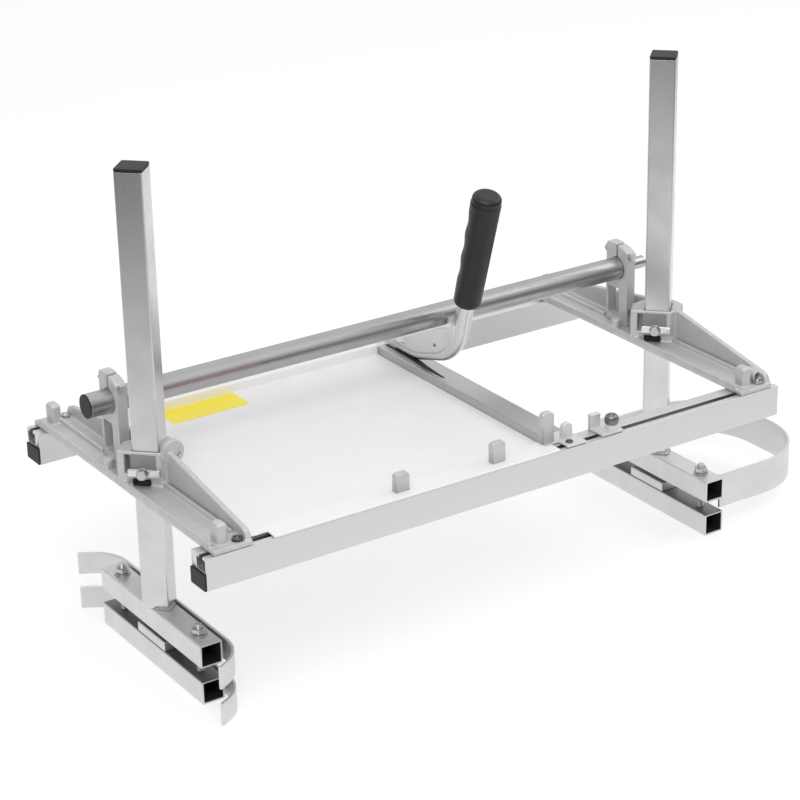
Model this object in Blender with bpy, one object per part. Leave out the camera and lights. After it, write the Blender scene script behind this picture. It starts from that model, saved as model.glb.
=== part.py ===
"""Log cutting frame that clamps onto the guide bar of a chainsaw.

Two slotted rails and a cross bar with a handle slide along the log. At each end a cast
bracket holds a square post, and the clamp under the post grips the guide bar, so the
height of the posts sets how thick a board is cut.

X runs along the rails, Y from the front rail to the rear one, Z up. Metres.
"""
from math import cos, pi, radians, sin, tan

import bmesh
import bpy
from mathutils import Matrix, Vector

GAP = 0.0003

# Rails with a T-slot near their outer edge, and a plain tube for the cross bar
RAIL_LENGTH = 0.700
RAIL_WIDTH = 0.028
RAIL_HEIGHT = 0.034
RAIL_BOTTOM = 0.163
RAIL_TOP = RAIL_BOTTOM + RAIL_HEIGHT
RAIL_WALL = 0.0025
SLOT_MOUTH = 0.007
SLOT_WIDTH = 0.016
SLOT_LIP = 0.003
SLOT_FLOOR = 0.0185
HOLLOW_TOP = 0.016
PLUG_THICK = 0.0020
PLUG_HEIGHT = 0.0175
PLUG_INSERT = 0.012
FRONT_RAIL_Y = -0.162
REAR_RAIL_Y = 0.186
SLOT_OFFSET = 0.004
FRONT_SLOT_Y = FRONT_RAIL_Y - SLOT_OFFSET
REAR_SLOT_Y = REAR_RAIL_Y + SLOT_OFFSET
PLUG_INSET = 0.003
BAR_X = 0.0806

# Brackets across the rails
BRACKET_X = 0.318
BRACKET_HALF = 0.021
BASE_THICK = 0.005
WEB_THICK = 0.006
WEB_END_RADIUS = 0.008
HUB_HEIGHT = 0.041
BOSS_HEIGHT = 0.026
BOLT_X = 0.0097
SLOT_NUT_RADIUS = 0.0072

# Posts stand 45 degrees turned in the hubs
POST_OFFSET = 0.009
POST_SIDE = 0.028
POST_WALL = 0.002
POST_BOTTOM = 0.0653
POST_TOP = 0.5205
CAP_THICK = 0.0035
POST_PLAY = 0.0004

# Clamps under the posts
CLAMP_SIDE = 0.025
CLAMP_WALL = 0.0018
CLAMP_LENGTH = 0.208
CLAMP_GAP = 0.015
JAW_SLIT = 0.0046
PAD_LENGTH = 0.056
CLAMP_BOLT_Y = 0.080
CLAMP_BOLT_RADIUS = 0.004
CLAMP_BOLT_TOP = 0.076
NUT_RADIUS = 0.0074
NUT_HEIGHT = 0.0065

# Skids on the left clamp and guard on the right one
BAND_THICK = 0.003
SKID_HEIGHT = 0.0244
SKID_RADIUS = 0.047
SKID_ANGLE = radians(62)
SKID_TIP = 0.011
GUARD_HEIGHT = 0.0395
GUARD_HALF = 0.098
GUARD_RADIUS = 0.080
GUARD_REACH = 0.485

# Push tube and the split brackets that hold it
TUBE_RADIUS = 0.0125
TUBE_BORE = 0.0105
TUBE_Y = 0.061
TUBE_Z = 0.267
TUBE_LEFT = -0.3445
TUBE_RIGHT = 0.3288
STUB_RADIUS = 0.007
STUB_END = 0.3525
FORK_BACK = 0.010
FORK_FRONT = -0.002
PINCH_Z = 0.0872
PINCH_RADIUS = 0.0025
PINCH_HEAD = 0.0048

# Cover plate between the left bracket and the cross bar, its long edges lying on the rails
PLATE_TOP = 0.188
PLATE_THICK = 0.002
PLATE_LEFT = -0.2967
PLATE_NOTCH = 0.003
FLANGE_TOP = RAIL_TOP + GAP + PLATE_THICK
FLANGE_LEFT = -0.2735
FLANGE_RIGHT = 0.060
FLANGE_INSET = 0.0005

# Handle on the cross bar, in the plane through the bar's middle
HANDLE_LEG_RADIUS = 0.0055
HANDLE_RADIUS = 0.0091
HANDLE_BEND = 0.060
GRIP_BOTTOM = Vector((0.016, 0.292))
GRIP_TOP = Vector((-0.0234, 0.4226))
GRIP_RADIUS = 0.0147
GRIP_BUMP = 0.0009
GRIP_BUMPS = 4

# Pegs and stop on the front rail
PEG_XS = {"peg_left": -0.1226, "peg_right": -0.0082}
PEG_Y = -0.1615
PEG_WIDTH = 0.016
PEG_HEIGHTS = {"peg_left": 0.019, "peg_right": 0.0215}
PEG_THICK = 0.008
SOLE_THICK = 0.0025
BAR_PEG_X = 0.0589
BAR_PEG_Y = -0.153
BAR_PEG_WIDTH = 0.015
BAR_PEG_HEIGHT = 0.033
BAR_BOLT_X = 0.0782
STOP_X = 0.115
KNOB_X = 0.017

# The world's origin is on the floor, under the middle of the whole frame
MIDDLE_X = (GUARD_REACH - RAIL_LENGTH / 2) / 2
MIDDLE_Y = (FRONT_RAIL_Y + REAR_RAIL_Y) / 2


def srgb(hex_colour):
    """Linear colour of a #rrggbb value."""
    values = [int(hex_colour[i:i + 2], 16) / 255 for i in (1, 3, 5)]
    return [v / 12.92 if v <= 0.04045 else ((v + 0.055) / 1.055) ** 2.4 for v in values] + [1.0]


def make_material(name, colour, roughness, metallic):
    """Plain Principled material."""
    material = bpy.data.materials.new(name)
    material.use_nodes = True
    shader = material.node_tree.nodes["Principled BSDF"]
    shader.inputs["Base Color"].default_value = srgb(colour)
    shader.inputs["Roughness"].default_value = roughness
    shader.inputs["Metallic"].default_value = metallic
    return material


def circle(radius, sides, centre=(0, 0)):
    """Points on a circle, counter-clockwise."""
    steps = [2 * pi * i / sides for i in range(sides)]
    return [(centre[0] + radius * cos(a), centre[1] + radius * sin(a)) for a in steps]


def hexagon(radius, sides=12, centre=(0, 0)):
    """Points on the edges of a hexagon: its corners and the middles of its sides."""
    points = []
    for i in range(sides):
        angle = 2 * pi * i / sides
        reach = radius if i % 2 == 0 else radius * cos(pi / 6)
        points.append((centre[0] + reach * cos(angle), centre[1] + reach * sin(angle)))
    return points


def rectangle(low, high):
    """Corners of a rectangle."""
    return [(low[0], low[1]), (high[0], low[1]), (high[0], high[1]), (low[0], high[1])]


def arc(centre, radius, start, end, steps):
    """Points along an arc, angles in radians."""
    angles = [start + (end - start) * i / steps for i in range(steps + 1)]
    return [(centre[0] + radius * cos(a), centre[1] + radius * sin(a)) for a in angles]


def in_space(point, axis, level):
    """Place a flat point in space, square to an axis: X takes (y, z), Y (x, z), Z (x, y)."""
    u, v = point
    return {"X": Vector((level, u, v)), "Y": Vector((u, level, v)), "Z": Vector((u, v, level))}[axis]


def loft(rings, ring_closed=False):
    """Closed solid through rings of points, with caps, or round to its first ring again."""
    bm = bmesh.new()
    rows = [[bm.verts.new(point) for point in ring] for ring in rings]
    pairs = list(zip(rows, rows[1:]))
    if ring_closed:
        pairs.append((rows[-1], rows[0]))
    for lower, upper in pairs:
        for i in range(len(lower)):
            j = (i + 1) % len(lower)
            bm.faces.new((lower[i], lower[j], upper[j], upper[i]))
    if not ring_closed:
        bm.faces.new(reversed(rows[0]))
        bm.faces.new(rows[-1])
    bmesh.ops.recalc_face_normals(bm, faces=bm.faces)
    return bm


def prism(outline, axis, start, end):
    """Flat outline extruded along an axis."""
    return loft([[in_space(p, axis, level) for p in outline] for level in (start, end)])


def box(low, high):
    """Box between two corners."""
    return prism(rectangle(low[:2], high[:2]), "Z", low[2], high[2])


def stepped(sections, axis, ring_closed=False):
    """Solid through flat outlines given as (level, outline), all with as many points."""
    rings = [[in_space(p, axis, level) for p in outline] for level, outline in sections]
    return loft(rings, ring_closed)


def to_mesh(name, bm):
    """Turn a bmesh into mesh data."""
    mesh = bpy.data.meshes.new(name)
    bm.to_mesh(mesh)
    bm.free()
    return mesh


def fused(name, solids, cuts=()):
    """Mesh of solids joined into one body, less the cuts, by exact Booleans."""
    helpers = []
    for bm in list(solids) + list(cuts):
        helper = bpy.data.objects.new("helper", to_mesh("helper", bm))
        bpy.context.scene.collection.objects.link(helper)
        helpers.append(helper)
    base = helpers[0]
    for number, helper in enumerate(helpers[1:], start=1):
        modifier = base.modifiers.new("shape", "BOOLEAN")
        modifier.solver = "EXACT"
        modifier.operation = "UNION" if number < len(solids) else "DIFFERENCE"
        modifier.object = helper
    evaluated = base.evaluated_get(bpy.context.evaluated_depsgraph_get())
    mesh = bpy.data.meshes.new_from_object(evaluated)
    mesh.name = name
    for helper in helpers:
        bpy.data.objects.remove(helper)
    return mesh


def place(name, mesh, material, parent, at=(0, 0, 0)):
    """Put a mesh in the scene as one named sub-part."""
    if isinstance(mesh, bmesh.types.BMesh):
        mesh = to_mesh(name, mesh)
    mesh.materials.clear()
    mesh.materials.append(material)
    mesh.shade_smooth()
    mesh.set_sharp_from_angle(angle=radians(35))
    obj = bpy.data.objects.new(name, mesh)
    obj.location = at
    obj.parent = parent
    bpy.context.scene.collection.objects.link(obj)
    return obj


def empty(name, parent, at):
    """Empty that carries the sub-parts of one moving body."""
    obj = bpy.data.objects.new(name, None)
    obj.location = at
    obj.parent = parent
    bpy.context.scene.collection.objects.link(obj)
    return obj


def rounded_path(corners, radius, steps=6):
    """Path through corners, each inner one rounded to the radius, as flat points."""
    path = [Vector(corners[0])]
    for before, corner, after in zip(corners, corners[1:], corners[2:]):
        corner = Vector(corner)
        into = (Vector(before) - corner).normalized()
        out = (Vector(after) - corner).normalized()
        half = into.angle(out) / 2
        centre = corner + (into + out).normalized() * radius / sin(half)
        first = corner + into * radius / tan(half)
        last = corner + out * radius / tan(half)
        for i in range(steps + 1):
            chord = first.lerp(last, i / steps)
            path.append(centre + (chord - centre).normalized() * radius)
    path.append(Vector(corners[-1]))
    return path


def band(path, thickness):
    """Outline of a flat band of even thickness on the left of a path."""
    side = []
    for i, point in enumerate(path):
        before = path[max(i - 1, 0)]
        after = path[min(i + 1, len(path) - 1)]
        along = (after - before).normalized()
        side.append(point + Vector((-along.y, along.x)) * thickness)
    return [tuple(p) for p in path] + [tuple(p) for p in reversed(side)]


def rail_mesh(name, half_length, offset):
    """Slotted profile: a T-slot along its top over a square hollow, open at both ends."""
    half = RAIL_WIDTH / 2
    mouth = SLOT_MOUTH / 2
    slot = SLOT_WIDTH / 2
    lip = RAIL_HEIGHT - SLOT_LIP
    outline = [(half, 0), (half, RAIL_HEIGHT), (offset + mouth, RAIL_HEIGHT), (offset + mouth, lip),
               (offset + slot, lip), (offset + slot, SLOT_FLOOR), (offset - slot, SLOT_FLOOR), (offset - slot, lip),
               (offset - mouth, lip), (offset - mouth, RAIL_HEIGHT), (-half, RAIL_HEIGHT), (-half, 0)]
    hollow = rectangle((RAIL_WALL - half, RAIL_WALL), (half - RAIL_WALL, HOLLOW_TOP))
    past = half_length + 0.01
    return fused(name, [prism(outline, "X", -half_length, half_length)], [prism(hollow, "X", -past, past)])


def bar_tube(half_length):
    """Cross bar: a plain tube as high and wide as the rails."""
    half = RAIL_WIDTH / 2
    outer = rectangle((-half, 0), (half, RAIL_HEIGHT))
    inner = rectangle((RAIL_WALL - half, RAIL_WALL), (half - RAIL_WALL, RAIL_HEIGHT - RAIL_WALL))
    return stepped([(-half_length, outer), (half_length, outer), (half_length, inner), (-half_length, inner)],
                   "Y", True)


def rail_plug(side):
    """Plug that closes a rail's hollow: a flange on the end face and an insert inside."""
    half = RAIL_WIDTH / 2
    inset = PLUG_INSET if side > 0 else 0.0
    flange = rectangle((inset - half, inset), (half - inset, PLUG_HEIGHT))
    inside = RAIL_WALL + GAP
    insert = rectangle((inside - half, inside), (half - inside, HOLLOW_TOP - GAP))
    end = side * RAIL_LENGTH / 2
    face = end - side * (PLUG_THICK - GAP)
    deep = end - side * (PLUG_THICK + PLUG_INSERT)
    return stepped([(end, flange), (face, flange), (face, insert), (deep, insert)], "X")


def bolt(head_low, head_high, shank_end, head_radius, shank_radius, axis="Z", centre=(0, 0)):
    """Hexagon bolt: head between two levels, round shank from the head's low side to its end."""
    head = hexagon(head_radius, centre=centre)
    shank = circle(shank_radius, 12, centre)
    return stepped([(head_high, head), (head_low, head), (head_low, shank), (shank_end, shank)], axis)


def rail_bolt():
    """Bolt through a bracket's foot, with the round head of its nut inside the rail's slot."""
    nut_top = -SLOT_LIP - GAP
    nut_low = nut_top - 0.004
    head_low = BASE_THICK + GAP
    head = hexagon(0.005)
    shank = circle(0.003, 12)
    slot_nut = circle(SLOT_NUT_RADIUS, 12)
    return stepped([(head_low + 0.005, head), (head_low, head), (head_low, shank),
                    (nut_top, shank), (nut_top, slot_nut), (nut_low, slot_nut)], "Z")


def post_outline(extra=0.0):
    """Square turned 45 degrees, its sides moved out by the extra play."""
    reach = (POST_SIDE / 2 + extra) * 2 ** 0.5
    return [(reach, 0), (0, reach), (-reach, 0), (0, -reach)]


def moved(outline, x, y=0.0):
    """Outline moved in its own plane."""
    return [(u + x, v + y) for u, v in outline]


def bracket_solids():
    """Cast bracket across both rails, about its middle on the rails' tops."""
    half = BRACKET_HALF
    front = FRONT_RAIL_Y - RAIL_WIDTH / 2
    rear = REAR_RAIL_Y + RAIL_WIDTH / 2
    base = box((-half, front, GAP), (half, rear, BASE_THICK))
    round_front = arc((front + 0.011, BASE_THICK + 0.002), WEB_END_RADIUS, pi, pi * 0.55, 5)
    round_rear = arc((rear - 0.011, BASE_THICK + 0.002), WEB_END_RADIUS, pi * 0.45, 0, 5)
    web_outline = [(front + 0.003, 0.002)] + round_front + [(-0.024, HUB_HEIGHT), (0.026, HUB_HEIGHT)]
    web_outline += round_rear + [(rear - 0.003, 0.002)]
    web = prism(web_outline, "X", half - WEB_THICK, half)
    hub_outline = [(-0.0233, 0.0088), (0.008, -0.023), (0.016, -0.023), (0.036, -0.010), (0.036, 0.010),
                   (0.024, 0.023), (0.017, 0.0252), (-0.0075, 0.0245)]
    hub = prism(hub_outline, "Z", 0.003, HUB_HEIGHT - 0.0005)
    lip = box((-half, front + 0.010, 0.003), (-half + 0.004, rear - 0.010, BASE_THICK + 0.004))
    front_rib = box((0.0095, front + 0.020, 0.003), (0.013, -0.022, BASE_THICK + 0.0045))
    rear_rib = box((-0.003, 0.083, 0.003), (0.001, rear - 0.015, BASE_THICK + 0.005))
    front_round = arc((-0.006, front + 0.0135), 0.006, pi, 2 * pi, 8)
    front_boss = prism(front_round + [(0.0, front + 0.024), (-0.012, front + 0.024)], "Z", 0.003, BOSS_HEIGHT)
    rear_round = arc((-0.006, rear - 0.0135), 0.006, 0, pi, 8)
    rear_boss = prism(rear_round + [(-0.012, rear - 0.024), (0.0, rear - 0.024)], "Z", 0.003, BOSS_HEIGHT)
    side_boss = prism(circle(0.0055, 12, (-0.0132, 0.0463)), "Z", 0.0025, 0.017)
    return [base, web, hub, lip, front_rib, rear_rib, front_boss, rear_boss, side_boss]


def across(along, behind):
    """Point on the bracket given along the hub's slanted face and behind the post's axis."""
    return (POST_OFFSET + (along + behind) / 2 ** 0.5, (behind - along) / 2 ** 0.5)


def bracket_cuts():
    """Post hole, bolt holes and the windows in the hub's walls."""
    post_hole = prism(moved(post_outline(POST_PLAY), POST_OFFSET), "Z", -0.01, 0.06)
    window = [across(*p) for p in rectangle((-0.0215, -0.022), (0.0111, -0.012))]
    upper_window = prism(window, "Z", 0.0164, 0.0381)
    pocket = [across(*p) for p in rectangle((-0.0208, -0.018), (-0.0150, -0.002))]
    side_pocket = prism(pocket, "Z", 0.0164, 0.0371)
    hole = [across(*p) for p in rectangle((-0.0135, -0.022), (0.0045, -0.012))]
    lower_window = prism(hole, "Z", BASE_THICK + 0.0003, 0.0115)
    cuts = [post_hole, upper_window, side_pocket, lower_window]
    for y in (FRONT_SLOT_Y, REAR_SLOT_Y):
        cuts.append(prism(circle(0.0034, 16, (BOLT_X, y)), "Z", -0.01, 0.01))
    return cuts


def disc_boss():
    """Round boss with its face to the front, on the left hub's outer corner."""
    return prism(circle(0.012, 24, (0.0215, 0.0400)), "Y", -0.026, -0.018)


def disc_slots():
    """Two short slots in the boss's face."""
    low = box((0.0240, -0.030, 0.0335), (0.0300, -0.0245, 0.0355))
    high = box((0.0125, -0.030, 0.0440), (0.0165, -0.0245, 0.0465))
    return [low, high]


def tube_bracket():
    """Upright with a split bore for the push tube, on two legs."""
    low = TUBE_Y - 0.018
    high = TUBE_Y + 0.019
    bore_z = TUBE_Z - RAIL_TOP
    foot = BASE_THICK + GAP
    outline = [(low, foot), (high, foot), (high, 0.095), (high - 0.003, 0.098), (low + 0.022, 0.098),
               (low + 0.008, 0.095), (low, 0.091)]
    plate = prism(outline, "X", FORK_FRONT, FORK_BACK)
    past = (FORK_FRONT - 0.01, FORK_BACK + 0.01)
    bore = prism(circle(TUBE_RADIUS + GAP, 32, (TUBE_Y, bore_z)), "X", *past)
    split = box((past[0], TUBE_Y - 0.0016, bore_z), (past[1], TUBE_Y + 0.0016, 0.12))
    legs = box((past[0], TUBE_Y - 0.004, 0.012), (past[1], TUBE_Y + 0.015, 0.051))
    middle = (FORK_FRONT + FORK_BACK) / 2
    pinch = prism(circle(PINCH_RADIUS + 0.0004, 16, (middle, PINCH_Z)), "Y", low - 0.01, high + 0.01)
    pocket = box((FORK_FRONT + 0.0025, low - 0.01, 0.014), (FORK_BACK - 0.0025, low + 0.007, 0.024))
    return fused("tube_bracket", [plate], [bore, split, legs, pinch, pocket])


def pinch_bolt():
    """Bolt that closes the split bore, with its nut behind."""
    middle = (FORK_FRONT + FORK_BACK) / 2
    front = TUBE_Y - 0.018 - GAP
    rear = TUBE_Y + 0.019 + GAP
    head = hexagon(PINCH_HEAD, centre=(middle, PINCH_Z))
    shank = circle(PINCH_RADIUS, 12, (middle, PINCH_Z))
    return stepped([(front - 0.004, head), (front, head), (front, shank), (rear, shank), (rear, head),
                    (rear + 0.005, head), (rear + 0.005, shank), (rear + 0.008, shank)], "Y")


def facing_post(mesh):
    """Turn a piece built in front of the origin to the hub's slanted face."""
    mesh.transform(Matrix.Translation((POST_OFFSET, 0, 0)) @ Matrix.Rotation(radians(-45), 4, "Z"))
    return mesh


def saddle():
    """Bar in front of the hub that carries the post's screw."""
    bar = box((-0.0165, -0.0240, 0.0165), (0.0165, -0.0173, 0.0250))
    hole = prism(circle(0.0034, 16, (-0.001, 0.0208)), "Y", -0.05, -0.01)
    return facing_post(fused("saddle", [bar], [hole]))


def post_screw():
    """Screw through the saddle, its end close to the post."""
    return facing_post(bolt(-0.0243, -0.0310, -0.0146, 0.0065, 0.003, "Y", (-0.001, 0.0208)))


def square_tube(side, wall, axis, start, end, turned=False):
    """Open square tube along an axis, as a wall that closes on itself."""
    reach = side / 2
    outer = rectangle((-reach, -reach), (reach, reach))
    inner = rectangle((wall - reach, wall - reach), (reach - wall, reach - wall))
    if turned:
        outer = post_outline()
        inner = post_outline(-wall)
    return stepped([(start, outer), (end, outer), (end, inner), (start, inner)], axis, True)


def post_cap():
    """Cap on the post's open top, with an insert inside the tube."""
    insert = post_outline(-POST_WALL - GAP)
    flange = post_outline()
    return stepped([(POST_TOP - 0.012, insert), (POST_TOP + GAP, insert),
                    (POST_TOP + GAP, flange), (POST_TOP + CAP_THICK, flange)], "Z")


def clamp_tube(name, both_walls):
    """Clamp tube along Y, drilled for its two bolts through the top wall, or through both."""
    tube = square_tube(CLAMP_SIDE, CLAMP_WALL, "Y", -CLAMP_LENGTH / 2, CLAMP_LENGTH / 2)
    low = -CLAMP_SIDE if both_walls else 0.0
    hole = CLAMP_BOLT_RADIUS + GAP
    drills = [prism(circle(hole, 16, (0, y)), "Z", low, CLAMP_SIDE) for y in (-CLAMP_BOLT_Y, CLAMP_BOLT_Y)]
    return fused(name, [tube], drills)


def clamp_nut():
    """Hexagon nut around a clamp bolt."""
    outer = hexagon(NUT_RADIUS)
    inner = circle(CLAMP_BOLT_RADIUS + GAP, 12)
    return stepped([(0, outer), (NUT_HEIGHT, outer), (NUT_HEIGHT, inner), (0, inner)], "Z", True)


def skid():
    """Band beside a clamp tube, both ends bent back so that it glides along the log."""
    straight = CLAMP_LENGTH / 2
    bend = arc((-SKID_RADIUS, straight), SKID_RADIUS, 0, SKID_ANGLE, 8)
    tip = (bend[-1][0] - SKID_TIP * sin(SKID_ANGLE), bend[-1][1] + SKID_TIP * cos(SKID_ANGLE))
    half_path = [Vector((0, 0))] + [Vector(p) for p in bend] + [Vector(tip)]
    path = [Vector((p.x, -p.y)) for p in reversed(half_path[1:])] + half_path
    return prism(band(path, -BAND_THICK), "Z", 0, SKID_HEIGHT)


def guard():
    """Band in a U from the right clamp, round the space where the bar's nose runs."""
    start = BRACKET_X + POST_OFFSET + CLAMP_SIDE / 2 + GAP
    corners = [(start, -GUARD_HALF), (GUARD_REACH, -GUARD_HALF), (GUARD_REACH, GUARD_HALF), (start, GUARD_HALF)]
    path = rounded_path(corners, GUARD_RADIUS, 10)
    return prism(band(path, BAND_THICK), "Z", 0, GUARD_HEIGHT)


def push_tube():
    """Round tube along the frame, a little behind the posts."""
    centre = (TUBE_Y, TUBE_Z)
    outer = circle(TUBE_RADIUS, 32, centre)
    inner = circle(TUBE_BORE, 32, centre)
    return stepped([(TUBE_LEFT, outer), (TUBE_RIGHT, outer), (TUBE_RIGHT, inner), (TUBE_LEFT, inner)], "X", True)


def tube_plug(end, side, radius, length):
    """Plug in the push tube's end, with a collar outside it."""
    centre = (TUBE_Y, TUBE_Z)
    insert = circle(TUBE_BORE - GAP, 32, centre)
    collar = circle(radius, 32, centre)
    return stepped([(end - side * 0.010, insert), (end + side * GAP, insert),
                    (end + side * GAP, collar), (end + side * length, collar)], "X")


def cover_plate():
    """Tray between the rails, its long edges folded up and out on to them, notched round the post."""
    rail_front = FRONT_RAIL_Y + RAIL_WIDTH / 2 + GAP
    rail_rear = REAR_RAIL_Y - RAIL_WIDTH / 2 - GAP
    front = FRONT_RAIL_Y - RAIL_WIDTH / 2 + FLANGE_INSET
    rear = REAR_RAIL_Y + RAIL_WIDTH / 2 - FLANGE_INSET
    inner_front = rail_front + PLATE_THICK
    inner_rear = rail_rear - PLATE_THICK
    lip = FLANGE_TOP - PLATE_THICK
    outline = [(rail_front, PLATE_TOP - PLATE_THICK), (rail_rear, PLATE_TOP - PLATE_THICK), (rail_rear, lip),
               (rear, lip), (rear, FLANGE_TOP), (inner_rear, FLANGE_TOP), (inner_rear, PLATE_TOP),
               (inner_front, PLATE_TOP), (inner_front, FLANGE_TOP), (front, FLANGE_TOP), (front, lip),
               (rail_front, lip)]
    bar_side = BAR_X - RAIL_WIDTH / 2 - GAP
    sheet = prism(outline, "X", PLATE_LEFT, bar_side)
    notch = prism(moved(post_outline(PLATE_NOTCH), POST_OFFSET - BRACKET_X), "Z", 0.15, 0.25)
    slot_front = FRONT_SLOT_Y + SLOT_MOUTH / 2
    front_corner = box((-0.4, front - 0.01, lip - 0.001), (FLANGE_LEFT, slot_front, 0.25))
    peg_corner = box((BAR_PEG_X - BAR_PEG_WIDTH / 2 - GAP, BAR_PEG_Y - 0.0078, lip - 0.001), (0.1, -0.14, 0.25))
    bar_corner = box((FLANGE_RIGHT, front - 0.01, lip - 0.001), (0.1, -0.14, 0.25))
    return fused("cover_plate", [sheet], [notch, front_corner, peg_corner, bar_corner])


def peg(width, height, thick):
    """Flat peg with a round top, standing on the front rail."""
    corner = 0.005
    half = width / 2
    right = arc((half - corner, height - corner), corner, 0, pi / 2, 4)
    left = arc((corner - half, height - corner), corner, pi / 2, pi, 4)
    outline = [(-half, 0), (half, 0)] + right + left
    return prism(outline, "Y", -thick / 2, thick / 2)


def bar_foot():
    """Foot that ties the cross bar to the front rail, with an arched ear and a pad for the peg."""
    half = RAIL_WIDTH / 2
    rail_front = FRONT_RAIL_Y - half + 0.0015
    rail_rear = FRONT_RAIL_Y + half
    pad_left = BAR_PEG_X - BAR_PEG_WIDTH / 2 - BAR_X
    left = pad_left + 0.0190
    outline = [(left, rail_front), (half, rail_front), (half, rail_rear + 0.010), (-half, rail_rear + 0.010),
               (-half, rail_rear), (pad_left, rail_rear), (pad_left, BAR_PEG_Y - 0.0060), (left, BAR_PEG_Y - 0.0060)]
    sole = prism(outline, "Z", GAP, SOLE_THICK)
    arch = arc((0.0012, 0.0130), 0.0063, 0, pi, 8)
    ear = prism([(-0.0051, 0.001), (0.0075, 0.001)] + arch, "Y", -0.1585, -0.1525)
    bolt_hole = prism(circle(0.0034, 16, (BAR_BOLT_X - BAR_X, FRONT_SLOT_Y)), "Z", -0.01, 0.01)
    return fused("bar_foot", [sole, ear], [bolt_hole])


def bar_bolt():
    """Bolt of the cross bar's foot, its nut inside the front rail's slot."""
    nut_top = -SLOT_LIP - GAP
    head = hexagon(0.0050)
    shank = circle(0.003, 12)
    slot_nut = circle(SLOT_NUT_RADIUS, 12)
    head_low = SOLE_THICK + GAP
    return stepped([(head_low + 0.0035, head), (head_low, head), (head_low, shank),
                    (nut_top, shank), (nut_top, slot_nut), (nut_top - 0.004, slot_nut)], "Z")


def handle_path():
    """Middle line of the handle's tube, as (y, z) points, from its foot to inside the grip."""
    up = (GRIP_TOP - GRIP_BOTTOM).normalized()
    foot_z = RAIL_TOP + GAP + HANDLE_LEG_RADIUS
    inside = GRIP_BOTTOM + up * 0.110
    lower = rounded_path([(0.150, foot_z), (0.112, foot_z), (0.076, foot_z + 0.0115)], 0.060, 4)
    upper = rounded_path([lower[-1], (0.036, 0.227), GRIP_BOTTOM], HANDLE_BEND, 10)
    return lower + upper[1:] + [inside]


def handle_curve(name, extra):
    """Tube that swells from its thin leg on the bar to full size at the bend."""
    curve = bpy.data.curves.new(name, "CURVE")
    curve.dimensions = "3D"
    curve.bevel_depth = 1.0
    curve.bevel_resolution = 4
    curve.use_fill_caps = True
    path = handle_path()
    spline = curve.splines.new("POLY")
    spline.points.add(len(path) - 1)
    thin_z = path[0].y
    thick_z = GRIP_BOTTOM.y - 0.030
    for point, place_on_path in zip(spline.points, path):
        share = min(max((place_on_path.y - thin_z) / (thick_z - thin_z), 0.0), 1.0)
        point.co = (0.0, place_on_path.x, place_on_path.y, 1.0)
        point.radius = HANDLE_LEG_RADIUS + (HANDLE_RADIUS - HANDLE_LEG_RADIUS) * share + extra
    return curve


def curve_mesh(name, extra=0.0):
    """Mesh of the handle's tube, its sides moved out by the extra."""
    helper = bpy.data.objects.new("helper", handle_curve(name, extra))
    bpy.context.scene.collection.objects.link(helper)
    evaluated = helper.evaluated_get(bpy.context.evaluated_depsgraph_get())
    mesh = bpy.data.meshes.new_from_object(evaluated)
    bpy.data.objects.remove(helper)
    bm = bmesh.new()
    bm.from_mesh(mesh)
    bmesh.ops.remove_doubles(bm, verts=bm.verts, dist=0.00001)
    bmesh.ops.recalc_face_normals(bm, faces=bm.faces)
    return bm


def handle_plate():
    """Web plate in the bend of the handle, with one small hole."""
    outline = [(0.166, 0.1975), (0.166, 0.2025), (0.150, 0.2085), (0.068, 0.2465), (0.046, 0.2540),
               (0.036, 0.2690), (0.0285, 0.2840), (0.020, 0.2840), (0.031, 0.2480), (0.046, 0.2290),
               (0.070, 0.2170), (0.100, 0.2060), (0.149, 0.2040), (0.1515, 0.1975)]
    plate = prism(outline, "X", -0.003, 0.003)
    hole = prism(circle(0.003, 16, (0.0738, 0.2300)), "X", -0.01, 0.01)
    return fused("handle_plate", [plate], [curve_mesh("clearance", GAP), hole])


def handle_grip():
    """Rubber grip with soft finger waves and a blind bore for the tube."""
    up = (GRIP_TOP - GRIP_BOTTOM).normalized()
    across = Vector((up.y, -up.x))
    length = (GRIP_TOP - GRIP_BOTTOM).length
    bore = HANDLE_RADIUS + GAP
    profile = [(0.1105, bore), (0.0, bore), (0.0, GRIP_RADIUS - 0.0015), (0.003, GRIP_RADIUS)]
    waves = 6 * GRIP_BUMPS
    for i in range(1, waves):
        share = i / waves
        swell = GRIP_BUMP * (1 - cos(2 * pi * GRIP_BUMPS * share)) / 2
        profile.append((0.003 + (length - 0.012) * share, GRIP_RADIUS + 0.0012 * share - swell))
    profile += [(length - 0.006, GRIP_RADIUS + 0.0010), (length - 0.002, GRIP_RADIUS - 0.001),
                (length, GRIP_RADIUS - 0.005)]
    rings = []
    for height, radius in profile:
        centre = GRIP_BOTTOM + up * height
        ring = []
        for x, offset in circle(radius, 24):
            point = centre + across * offset
            ring.append(Vector((x, point.x, point.y)))
        rings.append(ring)
    return loft(rings)


def slot_block():
    """Stop that slides along the front rail: a sole with an upright block at its rear."""
    sole = box((0, -0.0075, GAP), (0.0265, 0.0180, 0.0030))
    block = box((0, 0.0120, 0.001), (0.0125, 0.0180, 0.0175))
    bolt_hole = prism(circle(0.0034, 16, (KNOB_X, 0)), "Z", -0.01, 0.01)
    return fused("slot_block", [sole, block], [bolt_hole])


def slot_knob():
    """Low round knob on the stop, with its nut inside the rail's slot."""
    nut_top = -SLOT_LIP - GAP
    sizes = [(0.0190, 0.0045), (0.0180, 0.0064), (0.0155, 0.0073), (0.0095, 0.0073), (0.0095, 0.0055),
             (0.0033, 0.0055), (0.0033, 0.003), (nut_top, 0.003), (nut_top, SLOT_NUT_RADIUS),
             (nut_top - 0.004, SLOT_NUT_RADIUS)]
    return stepped([(level, circle(radius, 24)) for level, radius in sizes], "Z")


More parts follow.
